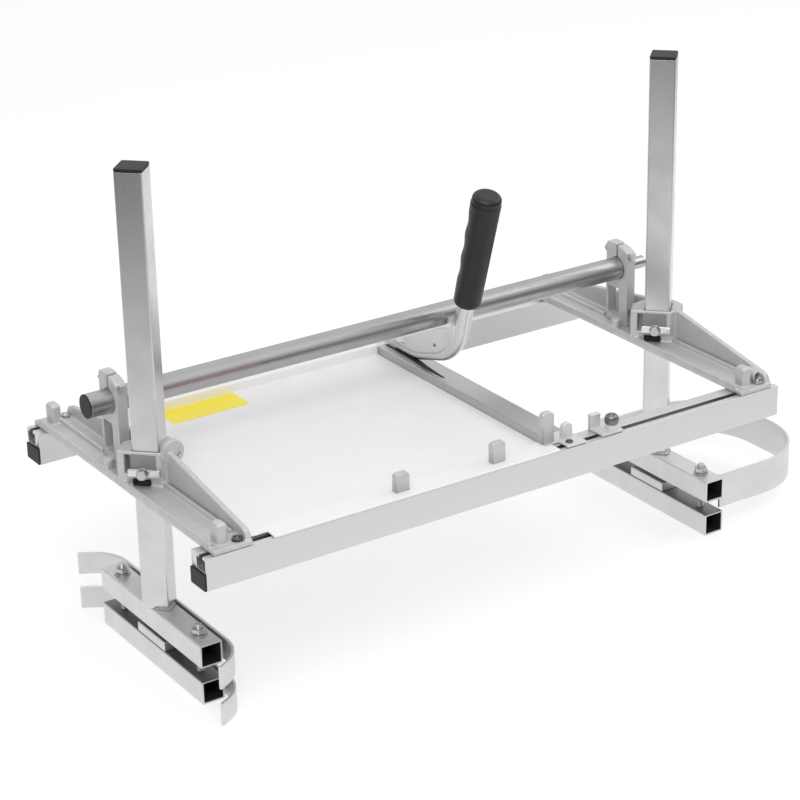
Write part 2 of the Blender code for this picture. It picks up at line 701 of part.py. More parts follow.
def build_end(side, word, parent, zinc, casting, steel):
    """One end's bracket with what is bolted to it, under its own parent."""
    extra = [disc_boss()] if side < 0 else []
    cuts = bracket_cuts() + (disc_slots() if side < 0 else [])
    place(f"{word}_bracket", fused(f"{word}_bracket", bracket_solids() + extra, cuts), casting, parent)
    place(f"{word}_tube_bracket", tube_bracket(), casting, parent)
    place(f"{word}_pinch_bolt", pinch_bolt(), steel, parent)
    place(f"{word}_foot_bolt_front", rail_bolt(), steel, parent, (BOLT_X, FRONT_SLOT_Y, 0))
    place(f"{word}_foot_bolt_rear", rail_bolt(), steel, parent, (BOLT_X, REAR_SLOT_Y, 0))
    place(f"{word}_saddle", saddle(), zinc, parent)
    place(f"{word}_post_screw", post_screw(), steel, parent)


def build_post(word, parent, zinc, plastic, steel):
    """Post, its cap and the upper half of its clamp, about the post's axis on the floor."""
    upper = CLAMP_SIDE + CLAMP_GAP
    post = square_tube(POST_SIDE, POST_WALL, "Z", POST_BOTTOM, POST_TOP, turned=True)
    place(f"{word}_post", post, zinc, parent)
    place(f"{word}_post_cap", post_cap(), plastic, parent)
    place(f"{word}_upper_tube", clamp_tube("upper_tube", True), zinc, parent, (0, 0, upper + CLAMP_SIDE / 2))
    for name, y in (("front", -CLAMP_BOLT_Y), ("rear", CLAMP_BOLT_Y)):
        place(f"{word}_nut_{name}", clamp_nut(), steel, parent, (0, y, upper + CLAMP_SIDE + GAP))


def build_jaw(word, parent, zinc, steel):
    """Lower half of a clamp: tube, middle pad and the two bolts that pull it up."""
    place(f"{word}_lower_tube", clamp_tube("lower_tube", False), zinc, parent, (0, 0, CLAMP_SIDE / 2))
    half_x = CLAMP_SIDE / 2 - GAP
    pad_top = CLAMP_SIDE + CLAMP_GAP - JAW_SLIT
    pad = box((-half_x, -PAD_LENGTH / 2, CLAMP_SIDE + GAP), (half_x, PAD_LENGTH / 2, pad_top))
    place(f"{word}_pad", pad, zinc, parent)
    head_high = CLAMP_SIDE - CLAMP_WALL - GAP
    for name, y in (("front", -CLAMP_BOLT_Y), ("rear", CLAMP_BOLT_Y)):
        screw = bolt(head_high, head_high - 0.0055, CLAMP_BOLT_TOP, NUT_RADIUS, CLAMP_BOLT_RADIUS)
        place(f"{word}_bolt_{name}", screw, steel, parent, (0, y, 0))


def build():
    """Whole frame, with every moving body under an empty of its own."""
    for obj in list(bpy.data.objects):
        bpy.data.objects.remove(obj)
    aluminium = make_material("aluminium", "#c9c8c8", 0.38, 0.9)
    casting = make_material("casting", "#a9a9a8", 0.5, 0.9)
    zinc = make_material("zinc", "#bfc2c4", 0.32, 1.0)
    steel = make_material("fastener_steel", "#9a9c9e", 0.3, 1.0)
    white = make_material("white_sheet", "#e8e6e7", 0.45, 0.0)
    plastic = make_material("black_plastic", "#1c1c1d", 0.5, 0.0)
    rubber = make_material("grip_rubber", "#161617", 0.65, 0.0)

    stand = empty("stand", None, (-MIDDLE_X, -MIDDLE_Y, 0))
    rails = (("front", FRONT_RAIL_Y, -SLOT_OFFSET), ("rear", REAR_RAIL_Y, SLOT_OFFSET))
    for name, y, offset in rails:
        rail = rail_mesh(f"rail_{name}", RAIL_LENGTH / 2 - PLUG_THICK, offset)
        place(f"rail_{name}", rail, aluminium, stand, (0, y, RAIL_BOTTOM))
        for word, side in (("left", -1), ("right", 1)):
            place(f"plug_{name}_{word}", rail_plug(side), plastic, stand, (0, y, RAIL_BOTTOM))
    place("push_tube", push_tube(), zinc, stand)
    place("tube_plug_left", tube_plug(TUBE_LEFT, -1, TUBE_RADIUS, 0.0015), plastic, stand)
    stub = tube_plug(TUBE_RIGHT, 1, STUB_RADIUS, STUB_END - TUBE_RIGHT)
    place("tube_plug_right", stub, zinc, stand)
    place("cover_plate", cover_plate(), white, stand)
    for name, x in PEG_XS.items():
        place(name, peg(PEG_WIDTH, PEG_HEIGHTS[name], PEG_THICK), casting, stand, (x, PEG_Y, FLANGE_TOP + GAP))

    left_end = empty("left_end", stand, (-BRACKET_X, 0, RAIL_TOP))
    right_end = empty("right_end", stand, (BRACKET_X, 0, RAIL_TOP))
    build_end(-1, "left", left_end, zinc, casting, steel)
    build_end(1, "right", right_end, zinc, casting, steel)

    bar = empty("bar_slide", stand, (BAR_X, 0, 0))
    bar_half = (REAR_RAIL_Y - FRONT_RAIL_Y - RAIL_WIDTH) / 2 - GAP
    place("cross_bar", bar_tube(bar_half), aluminium, bar, (0, MIDDLE_Y, RAIL_BOTTOM))
    place("bar_foot", bar_foot(), casting, bar, (0, 0, RAIL_TOP))
    place("bar_bolt", bar_bolt(), steel, bar, (BAR_BOLT_X - BAR_X, FRONT_SLOT_Y, RAIL_TOP))
    peg_place = (BAR_PEG_X - BAR_X, BAR_PEG_Y, RAIL_TOP + SOLE_THICK + GAP)
    place("bar_peg", peg(BAR_PEG_WIDTH, BAR_PEG_HEIGHT, PEG_THICK), casting, bar, peg_place)
    place("handle_tube", curve_mesh("handle_tube"), zinc, bar)
    place("handle_plate", handle_plate(), zinc, bar)
    place("handle_grip", handle_grip(), rubber, bar)

    stop = empty("stop_slide", stand, (STOP_X, FRONT_SLOT_Y, RAIL_TOP))
    place("slot_block", slot_block(), casting, stop)
    place("slot_knob", slot_knob(), steel, stop, (KNOB_X, 0, 0))

    upper = CLAMP_SIDE + CLAMP_GAP
    skid_x = CLAMP_SIDE / 2 + GAP + BAND_THICK
    band_rise = (CLAMP_SIDE - SKID_HEIGHT) / 2
    for word, side in (("left", -1), ("right", 1)):
        axis_x = side * BRACKET_X + POST_OFFSET
        post = empty(f"{word}_post_slide", stand, (axis_x, 0, 0))
        jaw = empty(f"{word}_jaw_slide", post, (0, 0, 0))
        build_post(word, post, zinc, plastic, steel)
        build_jaw(word, jaw, zinc, steel)
        if side < 0:
            place("left_upper_skid", skid(), zinc, post, (skid_x, 0, upper + band_rise))
            place("left_lower_skid", skid(), zinc, jaw, (skid_x, 0, band_rise))
        else:
            place("nose_guard", guard(), zinc, post, (-axis_x, 0, upper + CLAMP_SIDE - GUARD_HEIGHT))


build()
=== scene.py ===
# %% [markdown]
# # A log cutting frame for a chainsaw
# The frame clamps onto the guide bar of a chainsaw and slides along a log, so that the saw
# cuts boards of one thickness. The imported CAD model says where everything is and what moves.
# This lesson dresses it: each new surface is worked out with numpy in the CAD model's own
# places, rides the body of the CAD node that it stands for, and so moves with it.

import bmesh
import bpy
import numpy as np
from mathutils import Matrix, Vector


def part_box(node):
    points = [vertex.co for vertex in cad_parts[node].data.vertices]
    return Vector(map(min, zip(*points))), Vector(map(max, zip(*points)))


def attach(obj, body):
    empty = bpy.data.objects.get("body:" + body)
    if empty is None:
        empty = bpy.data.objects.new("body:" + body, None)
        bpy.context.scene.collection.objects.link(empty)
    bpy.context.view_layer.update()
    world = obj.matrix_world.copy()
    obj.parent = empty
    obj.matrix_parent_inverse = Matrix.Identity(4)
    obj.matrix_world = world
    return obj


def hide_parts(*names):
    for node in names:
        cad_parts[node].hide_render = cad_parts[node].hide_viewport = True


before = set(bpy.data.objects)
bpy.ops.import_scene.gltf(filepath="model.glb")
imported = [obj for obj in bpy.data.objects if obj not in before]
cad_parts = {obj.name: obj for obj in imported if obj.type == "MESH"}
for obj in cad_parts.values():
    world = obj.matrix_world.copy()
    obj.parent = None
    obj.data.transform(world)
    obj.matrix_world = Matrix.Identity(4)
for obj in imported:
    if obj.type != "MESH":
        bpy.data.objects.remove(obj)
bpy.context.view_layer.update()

# %% [markdown]
# ## Where things are
# A workshop drawing of such a frame is in millimetres, so the shapes here are too, and one
# factor turns them into Blender's metres at the very end. The places to start from are the
# boxes of the CAD nodes: the posts' axes, the brackets' left sides, the rails' tops.

# %% Places, in millimetres
MM = 0.001


def box_of(name):
    """Lowest and highest corner of a CAD node's box."""
    return np.array([list(corner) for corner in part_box(name)]) / MM


def lowest(name):
    """Lowest corner of a CAD node's box."""
    return box_of(name)[0]


def highest(name):
    """Highest corner of a CAD node's box."""
    return box_of(name)[1]


def centre_of(name):
    """Middle of a CAD node's box."""
    return (lowest(name) + highest(name)) / 2


def added(name, data):
    """New object in the scene, with a mesh, a lamp or a camera as its data."""
    obj = bpy.data.objects.new(name, data)
    bpy.context.scene.collection.objects.link(obj)
    return obj


ENDS = ("left", "right")
CARRIER = {"left": "frame", "right": "right_end"}
HUB_REACH = 23.3  # from a bracket's middle to the left corner of its hub
AXIS_Y = centre_of("left_post")[1]
POST_X = {end: centre_of(f"{end}_post")[0] for end in ENDS}
BRACKET_X = {end: lowest(f"{end}_bracket")[0] + HUB_REACH for end in ENDS}
BAR_X = centre_of("cross_bar")[0]
RAIL_TOP = highest("rail_front")[2]
print("posts at", POST_X, "rails' top at", round(RAIL_TOP, 1))

# %% [markdown]
# ## Camera
# The photograph looks down on the frame from its front left, from far away, so the camera
# has a long lens. Its turn is built from three arrows at right angles: where it looks, what
# is to its right, and what is up. A small roll about the view levels it as in the photograph.

# %% Camera
CAMERA_PLACE = np.array([-1.3782, -1.9985, 1.2259])
YAW, PITCH, ROLL = np.radians([33.0905, 23.157, -1.2525])

look = np.array([np.sin(YAW) * np.cos(PITCH), np.cos(YAW) * np.cos(PITCH), -np.sin(PITCH)])
level = np.array([np.cos(YAW), -np.sin(YAW), 0.0])
right = np.cos(ROLL) * level + np.sin(ROLL) * np.cross(level, look)
up = np.cross(right, look)
camera = added("camera", bpy.data.cameras.new("camera"))
turn = Matrix(np.column_stack([right, up, -look]).tolist()).to_4x4()
camera.matrix_world = Matrix.Translation(CAMERA_PLACE.tolist()) @ turn
camera.data.lens = 111.72
camera.data.sensor_width = 36.0
camera.data.clip_end = 50.0
bpy.context.scene.camera = camera
print("camera is", round(float(np.linalg.norm(CAMERA_PLACE)), 2), "m from the frame")

# %% [markdown]
# ## A small set of node tools
# Colours are written as hex values, as a paint chart gives them, and one function turns them
# into the linear numbers that a renderer adds and multiplies. The rest add nodes: sums, noise,
# a change of scale, a blend of two colours, and what every surface here needs at its end.
# Patterns read Object coordinates, which are the real metres of the mesh, so that a grain of
# 0.4 mm is 0.4 mm on every piece.

# %% Colour and node helpers
def linear(hex_colour):
    """Linear colour of a #rrggbb value: the inverse of the sRGB curve on each channel."""
    channels = np.array([int(hex_colour[i:i + 2], 16) for i in (1, 3, 5)]) / 255
    curve = np.where(channels <= 0.04045, channels / 12.92, ((channels + 0.055) / 1.055) ** 2.4)
    return (*curve.tolist(), 1.0)


def node(tree, kind, sockets=None, **values):
    """Adds a node and gives its first output in use. Values are its own settings; sockets gives
    an input, by name or number, a number, a colour or the output of another node."""
    made = tree.nodes.new(kind)
    for key, value in values.items():
        setattr(made, key, value)
    for key, value in (sockets or {}).items():
        if isinstance(value, bpy.types.NodeSocket):
            tree.links.new(value, made.inputs[key])
        else:
            made.inputs[key].default_value = value
    return next(output for output in made.outputs if output.enabled)


def maths(tree, operation, *values, **settings):
    """Sum, product or the like of numbers and outputs of nodes."""
    return node(tree, "ShaderNodeMath", dict(enumerate(values)), operation=operation, **settings)


def noise(tree, place, size, detail, along=None, length=0):
    """Noise with patches of size millimetres, drawn out to length along an axis if one is given."""
    scale = 1 / (size * MM)
    if along is not None:
        stretch = [scale] * 3
        stretch[along] = 1 / (length * MM)
        place = node(tree, "ShaderNodeMapping", {"Vector": place, "Scale": stretch})
        scale = 1.0
    return node(tree, "ShaderNodeTexNoise", {"Vector": place, "Scale": scale, "Detail": detail})


def scaled(tree, value, low, high, start, end, **values):
    """A value between low and high brought to between start and end."""
    return node(tree, "ShaderNodeMapRange", {0: value, 1: low, 2: high, 3: start, 4: end}, **values)


def blend(tree, share, first, second):
    """Colour that goes from the first to the second."""
    return node(tree, "ShaderNodeMix", {0: share, 6: first, 7: second}, data_type="RGBA")


def finish(name, colour, metallic, roughness):
    """New material: the material, its tree, its shader and the piece's Object coordinates."""
    material = bpy.data.materials.new(name)
    material.use_nodes = True
    tree = material.node_tree
    shader = tree.nodes["Principled BSDF"]
    shader.inputs["Base Color"].default_value = linear(colour)
    shader.inputs["Metallic"].default_value = metallic
    shader.inputs["Roughness"].default_value = roughness
    place = tree.nodes.new("ShaderNodeTexCoord").outputs["Object"]
    return material, tree, shader, place


def dress(tree, shader, colours, share, dull, height, depth, strength):
    """Gives a shader two blended colours, a roughness, and a relief of depth millimetres."""
    relief = {"Height": height, "Distance": depth * MM, "Strength": strength}
    tree.links.new(node(tree, "ShaderNodeBump", relief), shader.inputs["Normal"])
    tree.links.new(dull, shader.inputs["Roughness"])
    if colours:
        tone = blend(tree, share, linear(colours[0]), linear(colours[1]))
        tree.links.new(tone, shader.inputs["Base Color"])


print("white as linear:", linear("#ffffff")[:3])

# %% [markdown]
# ## Zinc, bright from the plating bath
# The posts, clamps, bands and the handle are mild steel with a bright zinc plating about a
# hundredth of a millimetre thick. The tube was cold drawn before, so faint lines run along it
# under the zinc, and the bath leaves soft clouds some centimetres wide, a little darker and
# duller than the rest. So one function makes the finish, told which way the tube runs. Bolts
# are plated loose in a turning barrel and come out duller. The bar foot's screw and the knob
# are dark steel, and the left front foot bolt gets the same dark colour as painted shade. A
# weld keeps the grey of its heat.

# %% Plated steel
def plated_steel(name, along, colours=("#c7c7c7", "#d8d8d8"), rough=(0.2, 0.28)):
    """Zinc plating with drawing lines along an axis: 0 for X, 1 for Y, 2 for Z."""
    material, tree, shader, place = finish(name, colours[1], 1.0, rough[0])
    cloud = noise(tree, place, 28, 4.0)
    lines = noise(tree, place, 0.9, 3.0, along, 90)
    dull = scaled(tree, maths(tree, "MULTIPLY", cloud, lines), 0.1, 0.4, rough[1], rough[0])
    dress(tree, shader, colours, cloud, dull, lines, 0.01, 0.12)
    return material


ZINC_Z = plated_steel("bright_zinc_along_z", 2)
TUBE_ZINC = plated_steel("bright_zinc_push_bar", 0, ("#a6a6a6", "#b6b6b6"), (0.27, 0.35))
CLAMP_ZINC = plated_steel("soft_zinc_clamps", 1, ("#d3d4d6", "#dfe0e1"), (0.38, 0.48))
STUB_ZINC = plated_steel("bright_zinc_stub", 0, ("#aaaaaa", "#bcbcbc"))
SADDLE_ZINC = plated_steel("bright_zinc_saddle", 0, ("#d8d8d8", "#e6e6e6"), (0.2, 0.28))
HANDLE_ZINC = plated_steel("bright_zinc_handle", 2, ("#d4d4d4", "#e2e2e2"), (0.26, 0.34))
WEB_ZINC = plated_steel("bright_zinc_web", 1, ("#d8d8d8", "#e4e4e4"), (0.3, 0.4))
FASTENER = plated_steel("zinc_fasteners", 2, ("#b6b6b7", "#cdcdce"), (0.22, 0.34))
DARK_STEEL_AND_BOLT_SHADE = plated_steel("dark_steel_and_painted_bolt_shade", 2, ("#626263", "#757576"), (0.34, 0.46))
KNOB_STEEL = plated_steel("dull_steel_knob", 2, ("#77787a", "#8d8e90"), (0.3, 0.42))
WELD = plated_steel("plated_weld", 2, ("#a4a5a6", "#babbbc"), (0.3, 0.44))
print("zinc finishes made")

# %% [markdown]
# ## Aluminium, drawn and cast
# The rails and the cross bar are extruded through a steel die, whose edge leaves fine straight
# lines along the whole length, and then etched to a silky satin. The brackets are cast in a
# mould and blasted, which leaves an even grey grain of about half a millimetre and no lines.
# Small castings are tumbled paler. A darker grey at the back of a hub's window is painted shade.

# %% Extruded and cast aluminium
def extruded_aluminium(name, along, colour="#d9d8d8", rough=(0.42, 0.37), strength=0.2):
    """Satin extrusion with faint die lines along an axis."""
    material, tree, shader, place = finish(name, colour, 1.0, rough[0])
    lines = noise(tree, place, 0.5, 4.0, along, 160)
    dull = scaled(tree, lines, 0.3, 0.7, *rough)
    dress(tree, shader, (), None, dull, lines, 0.01, strength)
    return material


def cast_aluminium(name, *colours):
    """Blasted casting: fine grain, and broad soft patches where the metal cooled unevenly."""
    material, tree, shader, place = finish(name, colours[1], 0.6, 0.5)
    grit = noise(tree, place, 0.5, 3.0)
    patch = noise(tree, place, 14, 2.0)
    dress(tree, shader, colours, patch, scaled(tree, patch, 0.3, 0.7, 0.62, 0.5), grit, 0.08, 0.5)
    return material


ALUMINIUM_X = extruded_aluminium("satin_aluminium_along_x", 0)
BAR_SATIN = extruded_aluminium("brushed_aluminium_along_y", 1, "#bababa", (0.33, 0.3), 0.02)
CASTING = cast_aluminium("blasted_cast_aluminium", "#c4c4c4", "#d2d2d2")
PALE_CASTING = cast_aluminium("pale_cast_aluminium", "#d8d8d7", "#e2e2e1")
# darker grey for the back of the hubs' windows: painted shade
RECESS_SHADE_CASTING = cast_aluminium("cast_aluminium_painted_recess_shade", "#8e8e8d", "#9d9d9c")
print("aluminium finishes made")

# %% [markdown]
# ## Powder coat, plastic, rubber and vinyl
# The cover plate is steel sheet under a white powder coat, baked so that it flows into a
# faint orange peel. Plugs and caps are moulded black ABS with a spark-eroded grain, the grip
# is moulded black rubber, and the label is blank yellow vinyl, smooth and thin. Three dark or
# coloured finishes are painted light: a thin black sheet under the handle's foot is painted
# shadow and reflection, a red stripe on the push bar is a painted reflection, and a dark sleeve
# inside each clamp tube is painted shade.

# %% Coatings and plastics
def coated(name, colours, roughness, spot, depth, strength):
    """Coat or plastic: a faint change of tone, and an even grain, its size and depth in mm."""
    material, tree, shader, place = finish(name, colours[1], 0.0, roughness)
    patch = noise(tree, place, 40, 2.0)
    grit = noise(tree, place, spot, 2.0)
    dull = scaled(tree, grit, 0.3, 0.7, roughness * 0.9, roughness * 1.1)
    dress(tree, shader, colours, patch, dull, grit, depth, strength)
    return material


POWDER_COAT = coated("white_powder_coat", ("#efedee", "#f4f2f3"), 0.42, 1.4, 0.02, 0.3)
BLACK_ABS = coated("black_moulded_abs", ("#101011", "#171718"), 0.58, 0.6, 0.03, 0.4)
GRIP_RUBBER = coated("black_grip_rubber", ("#0f0f10", "#171718"), 0.42, 0.8, 0.04, 0.4)
# painted shadow and reflection of the handle, on the bar's top
HANDLE_SHADOW_PAINT = coated("painted_handle_shadow_and_reflection", ("#121213", "#19191a"), 0.6, 0.8, 0.04, 0.4)
YELLOW_VINYL = coated("yellow_label_vinyl", ("#fbe733", "#fff03c"), 0.35, 1.0, 0.01, 0.3)
# painted reflection: a red stripe on the push bar
RED_REFLECTION_PAINT = coated("painted_red_reflection", ("#8d6877", "#9a7484"), 0.4, 1.0, 0.01, 0.2)
# painted shade inside the clamp tubes' bores
BORE_SHADE_PAINT = coated("painted_bore_shade", ("#1d1d1e", "#2a2a2b"), 0.55, 0.6, 0.03, 0.3)
print(len(bpy.data.materials), "materials so far")

# %% [markdown]
# ## From a grid of points to a closed shell
# Most parts of this frame are one flat profile carried along a line: rails, tubes, bands and
# plates. Worked out as arrays, that is a grid with one row of points for each step along the
# line. Neighbouring rows make quads, and a flat face closes each open end.

# %% Shells and pieces
def shell(grid, loop=False):
    """Closed shell over a grid of points. Columns always run round; rows do if loop is set."""
    rows, columns = grid.shape[:2]
    number = np.arange(rows * columns).reshape(rows, columns)
    here = number if loop else number[:-1]
    there = np.roll(number, -1, axis=0)[:len(here)]
    quads = np.stack([here, np.roll(here, -1, 1), np.roll(there, -1, 1), there], axis=-1)
    ends = [] if loop else [number[0][::-1], number[-1]]
    return grid.reshape(-1, 3), quads.reshape(-1, 4), ends


def mesh_of(name, shells, at):
    """Mesh of shells given in millimetres about a place."""
    points = np.concatenate([places for places, _, _ in shells]) + np.array(at, float)
    faces = []
    start = 0
    for places, quads, ends in shells:
        faces += (quads + start).tolist() + [(end + start).tolist() for end in ends]
        start += len(places)
    mesh = bpy.data.meshes.new(name)
    mesh.from_pydata((points * MM).tolist(), [], faces)
    outward = bmesh.new()
    outward.from_mesh(mesh)
    bmesh.ops.recalc_face_normals(outward, faces=outward.faces)
    outward.to_mesh(mesh)
    outward.free()
    return mesh


def piece(name, shells, body, material, stands_for=None, at=(0, 0, 0), cuts=()):
    """Object from shells, less the shells in cuts, riding a CAD body."""
    obj = added(name, mesh_of(name, shells, at))
    if cuts:
        cutter = added("cutter", mesh_of("cutter", cuts, at))
        boolean = obj.modifiers.new("cut", "BOOLEAN")
        boolean.operation = "DIFFERENCE"
        boolean.solver = "EXACT"
        boolean.object = cutter
        evaluated = obj.evaluated_get(bpy.context.evaluated_depsgraph_get())
        whole = obj.data
        obj.data = bpy.data.meshes.new_from_object(evaluated)
        obj.modifiers.clear()
        bpy.data.objects.remove(cutter)
        bpy.data.meshes.remove(whole)
    obj.data.materials.clear()
    obj.data.materials.append(material)
    obj.data.shade_smooth()
    obj.modifiers.new("flat faces stay flat", "WEIGHTED_NORMAL").keep_sharp = True
    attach(obj, body)
    if stands_for:
        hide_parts(stands_for)


print("a ring of 4 by 3 points has", len(shell(np.zeros((4, 3, 3)), loop=True)[1]), "quads")

# %% [markdown]
# ## Profiles with rounded corners and soft ends
# No real edge is perfectly sharp, and it is the narrow light line along an edge that makes
# metal look like metal. So each corner of a profile turns along an arc, and where a swept
# part ends its profile draws in along a quarter circle.

# %% Profiles
def unit(vectors):
    """Vectors of length one."""
    return vectors / np.linalg.norm(vectors, axis=-1, keepdims=True)


def rounded(corners, radius, steps=4):
    """Closed outline whose corners turn along arcs. A corner's arc has its middle on the line
    that halves the corner, radius / sin(half the angle) away."""
    corners = np.array(corners, float)
    radius = np.broadcast_to(np.array(radius, float), len(corners))[:, None]
    back = unit(np.roll(corners, 1, axis=0) - corners)
    on = unit(np.roll(corners, -1, axis=0) - corners)
    half = np.arccos(np.clip((back * on).sum(1), -1, 1))[:, None] / 2
    middle = corners + unit(back + on) * radius / np.sin(half)
    first = corners + back * radius / np.tan(half) - middle
    last = corners + on * radius / np.tan(half) - middle
    turn = (np.pi - 2 * half)[:, :, None]
    share = np.linspace(0, 1, steps + 1)[None, :, None]
    arc = np.sin((1 - share) * turn) * first[:, None] + np.sin(share * turn) * last[:, None]
    return (middle[:, None] + arc / np.sin(turn)).reshape(-1, 2)


def rectangle(low, high, radius, steps=4):
    """Rectangle with round corners."""
    (a, b), (c, d) = low, high
    return rounded([(a, b), (c, b), (c, d), (a, d)], radius, steps)


def circle(radius, sides, centre=(0, 0)):
    """Points on a circle."""
    angle = np.arange(sides) / sides * 2 * np.pi
    return np.column_stack([centre[0] + radius * np.cos(angle), centre[1] + radius * np.sin(angle)])


print("an arc of 4 steps has", len(rectangle((0, 0), (1, 1), 0.1)) // 4, "points")

# %% Sweeps
def drawn_in(outline, insets):
    """An anticlockwise outline once for each inset, its sides moved inwards by it: a corner
    moves by inset * 2(n1 + n2) / |n1 + n2|^2 with n1 and n2 the inward normals beside it."""
    along = unit(np.roll(outline, -1, axis=0) - outline)
    normal = np.column_stack([-along[:, 1], along[:, 0]])
    both = normal + np.roll(normal, 1, axis=0)
    mitre = 2 * both / (both ** 2).sum(1, keepdims=True)
    return outline[None] + np.asarray(insets)[:, None, None] * mitre[None]


def swept(outline, path, side, up, edge=0.4, steps=3, sizes=1.0):
    """Shell of an outline carried along a path: path + u * side + v * up for each of its points
    (u, v), times a size, or a size for each of u and v. Over the first and the last edge the
    outline draws in along a quarter circle."""
    path, side, up = (np.array(part, float) for part in (path, side, up))
    side, up = (np.broadcast_to(part, path.shape) for part in (side, up))
    sizes = np.array(sizes, float)
    sizes = np.broadcast_to(sizes[:, None] if sizes.ndim == 1 else sizes, (len(path), 2))
    angle = np.linspace(0, np.pi / 2, steps + 1)
    inset = edge * (1 - np.sin(angle))
    depth = (edge * (1 - np.cos(angle)))[:, None]
    head = path[0] + depth * unit(path[1] - path[0])
    tail = (path[-1] - depth * unit(path[-1] - path[-2]))[::-1]
    pick = [0] * (steps + 1) + list(range(1, len(path) - 1)) + [-1] * (steps + 1)
    rows = np.concatenate([head, path[1:-1], tail])[:, None]
    rings = drawn_in(outline, np.concatenate([inset, np.zeros(len(path) - 2), inset[::-1]]))
    rings = rings * sizes[pick][:, None]
    return shell(rows + rings[..., :1] * side[pick][:, None] + rings[..., 1:] * up[pick][:, None])


AXES = {"X": np.eye(3)[[0, 1, 2]], "Y": np.eye(3)[[1, 0, 2]], "Z": np.eye(3)[[2, 0, 1]]}


def slab(outline, axis, start, end, edge=0.4, steps=3):
    """Outline carried straight along an axis. It takes (y, z) for X, (x, z) for Y, (x, y) for Z."""
    along, side, up = AXES[axis]
    return swept(outline, [along * start, along * end], side, up, edge, steps)


def pipe(outer, inner, axis, start, end, edge=0.3):
    """Open tube: its rows go along the outside and come back along the inside."""
    along, side, up = AXES[axis]
    levels = np.array([start, start + edge, end - edge, end, end, end - edge, start + edge, start])
    wall = [drawn_in(outer, [edge, 0, 0, edge]), drawn_in(inner, [-edge / 2, 0, 0, -edge / 2])]
    rings = np.concatenate(wall)
    grid = levels[:, None, None] * along + rings[..., :1] * side + rings[..., 1:] * up
    return shell(grid, loop=True)


print("a slab of a circle of 8 points has", len(slab(circle(1, 8), "Z", 0, 1)[0]), "points")

# %% [markdown]
# ## Rails and cross bar
# The rails are cut from one aluminium extrusion: a square hollow below, and near the outer
# edge a T-slot whose lips hold the heads of nuts. A box with grooves cut out would do, but the
# real rail comes out of a die, so the die's outline is carried along each length. The rear
# rail is the front one turned round. The cross bar between them is a plain tube.

# %% The extrusions
HALF, TALL, WALL = 14.0, 34.0, 2.5  # half width, height and wall of rails and cross bar
MOUTH, ROOM = 3.5, 8.0  # half width of the slot between its lips and below them
SLOT_MIDDLE = -4.0  # across the rail, towards its outer edge
LIP, FLOOR = 31.0, 18.5  # levels of the lips' undersides and of the slot's floor
slot_right = [(MOUTH, TALL), (MOUTH, LIP), (ROOM, LIP), (ROOM, FLOOR)]
slot_left = [(-across, level) for across, level in slot_right[::-1]]
slot = [(SLOT_MIDDLE + across, level) for across, level in slot_right + slot_left]
die = [(HALF, 0), (HALF, TALL), *slot, (-HALF, TALL), (-HALF, 0)]
die_outline = rounded(die, [1.4, 1.0, 0.5, 0.4, 0.4, 0.6, 0.6, 0.4, 0.4, 0.5, 0.6, 1.4])
for word in ("front", "rear"):
    name = f"rail_{word}"
    low, high = box_of(name)
    outline = die_outline if word == "front" else (die_outline * [-1, 1])[::-1]
    bar = slab(outline, "X", low[0], high[0], 0.3)
    bore = rectangle((WALL - HALF, WALL), (HALF - WALL, FLOOR - WALL), 0.8)
    hollow = slab(bore, "X", low[0] - 5, high[0] + 5, 0.1)
    at = (0, centre_of(name)[1], low[2])
    piece(f"{word}_rail", [bar], "frame", ALUMINIUM_X, name, at, [hollow])
low, high = box_of("cross_bar")
bore = rectangle((WALL - HALF, WALL), (HALF - WALL, TALL - WALL), 0.8)
bar = pipe(rectangle((-HALF, 0), (HALF, TALL), 1.2), bore, "Y", low[1], high[1], 0.4)
at = (BAR_X, 0, low[2])
piece("cross_bar_tube", [bar], "cross_bar", BAR_SATIN, "cross_bar", at)
print("cross bar", round(high[1] - low[1], 1), "mm long")

# %% [markdown]
# ## Plugs, push tube and posts
# Black plugs close the hollows of the rails and the left end of the push tube, a bright stub
# shows at its right end, and caps close the posts. A post is a square tube turned 45 degrees,
# so that one edge points forwards. Every tube is a real pipe with a wall, because the open
# ends of the clamps' tubes are seen.

# %% Plugs of the rails
FLANGE = 1.7  # what shows of a plug outside the rail
for word in ("front", "rear"):
    for end, face in zip(ENDS, (FLANGE, -FLANGE)):
        name = f"plug_{word}_{end}"
        low, high = box_of(name)
        outer = low[0] if end == "left" else high[0]
        half = (high[1] - low[1]) / 2 - 0.1
        rise = low[2] - lowest("rail_front")[2]
        flange = rectangle((-half, rise + 0.1), (half, 17.4), 1.4)
        insert = rectangle((-11.1, 2.9), (11.1, 15.6), 1.0)
        shells = [slab(flange, "X", *sorted((outer, outer + face)), 0.6),
                  slab(insert, "X", *sorted((outer + face, outer + 8 * face)), 0.5)]
        at = (0, centre_of(name)[1], low[2] - rise)
        piece(f"{word}_rail_plug_{end}", shells, "frame", BLACK_ABS, name, at)
print("a plug is", round(2 * half, 1), "mm wide")

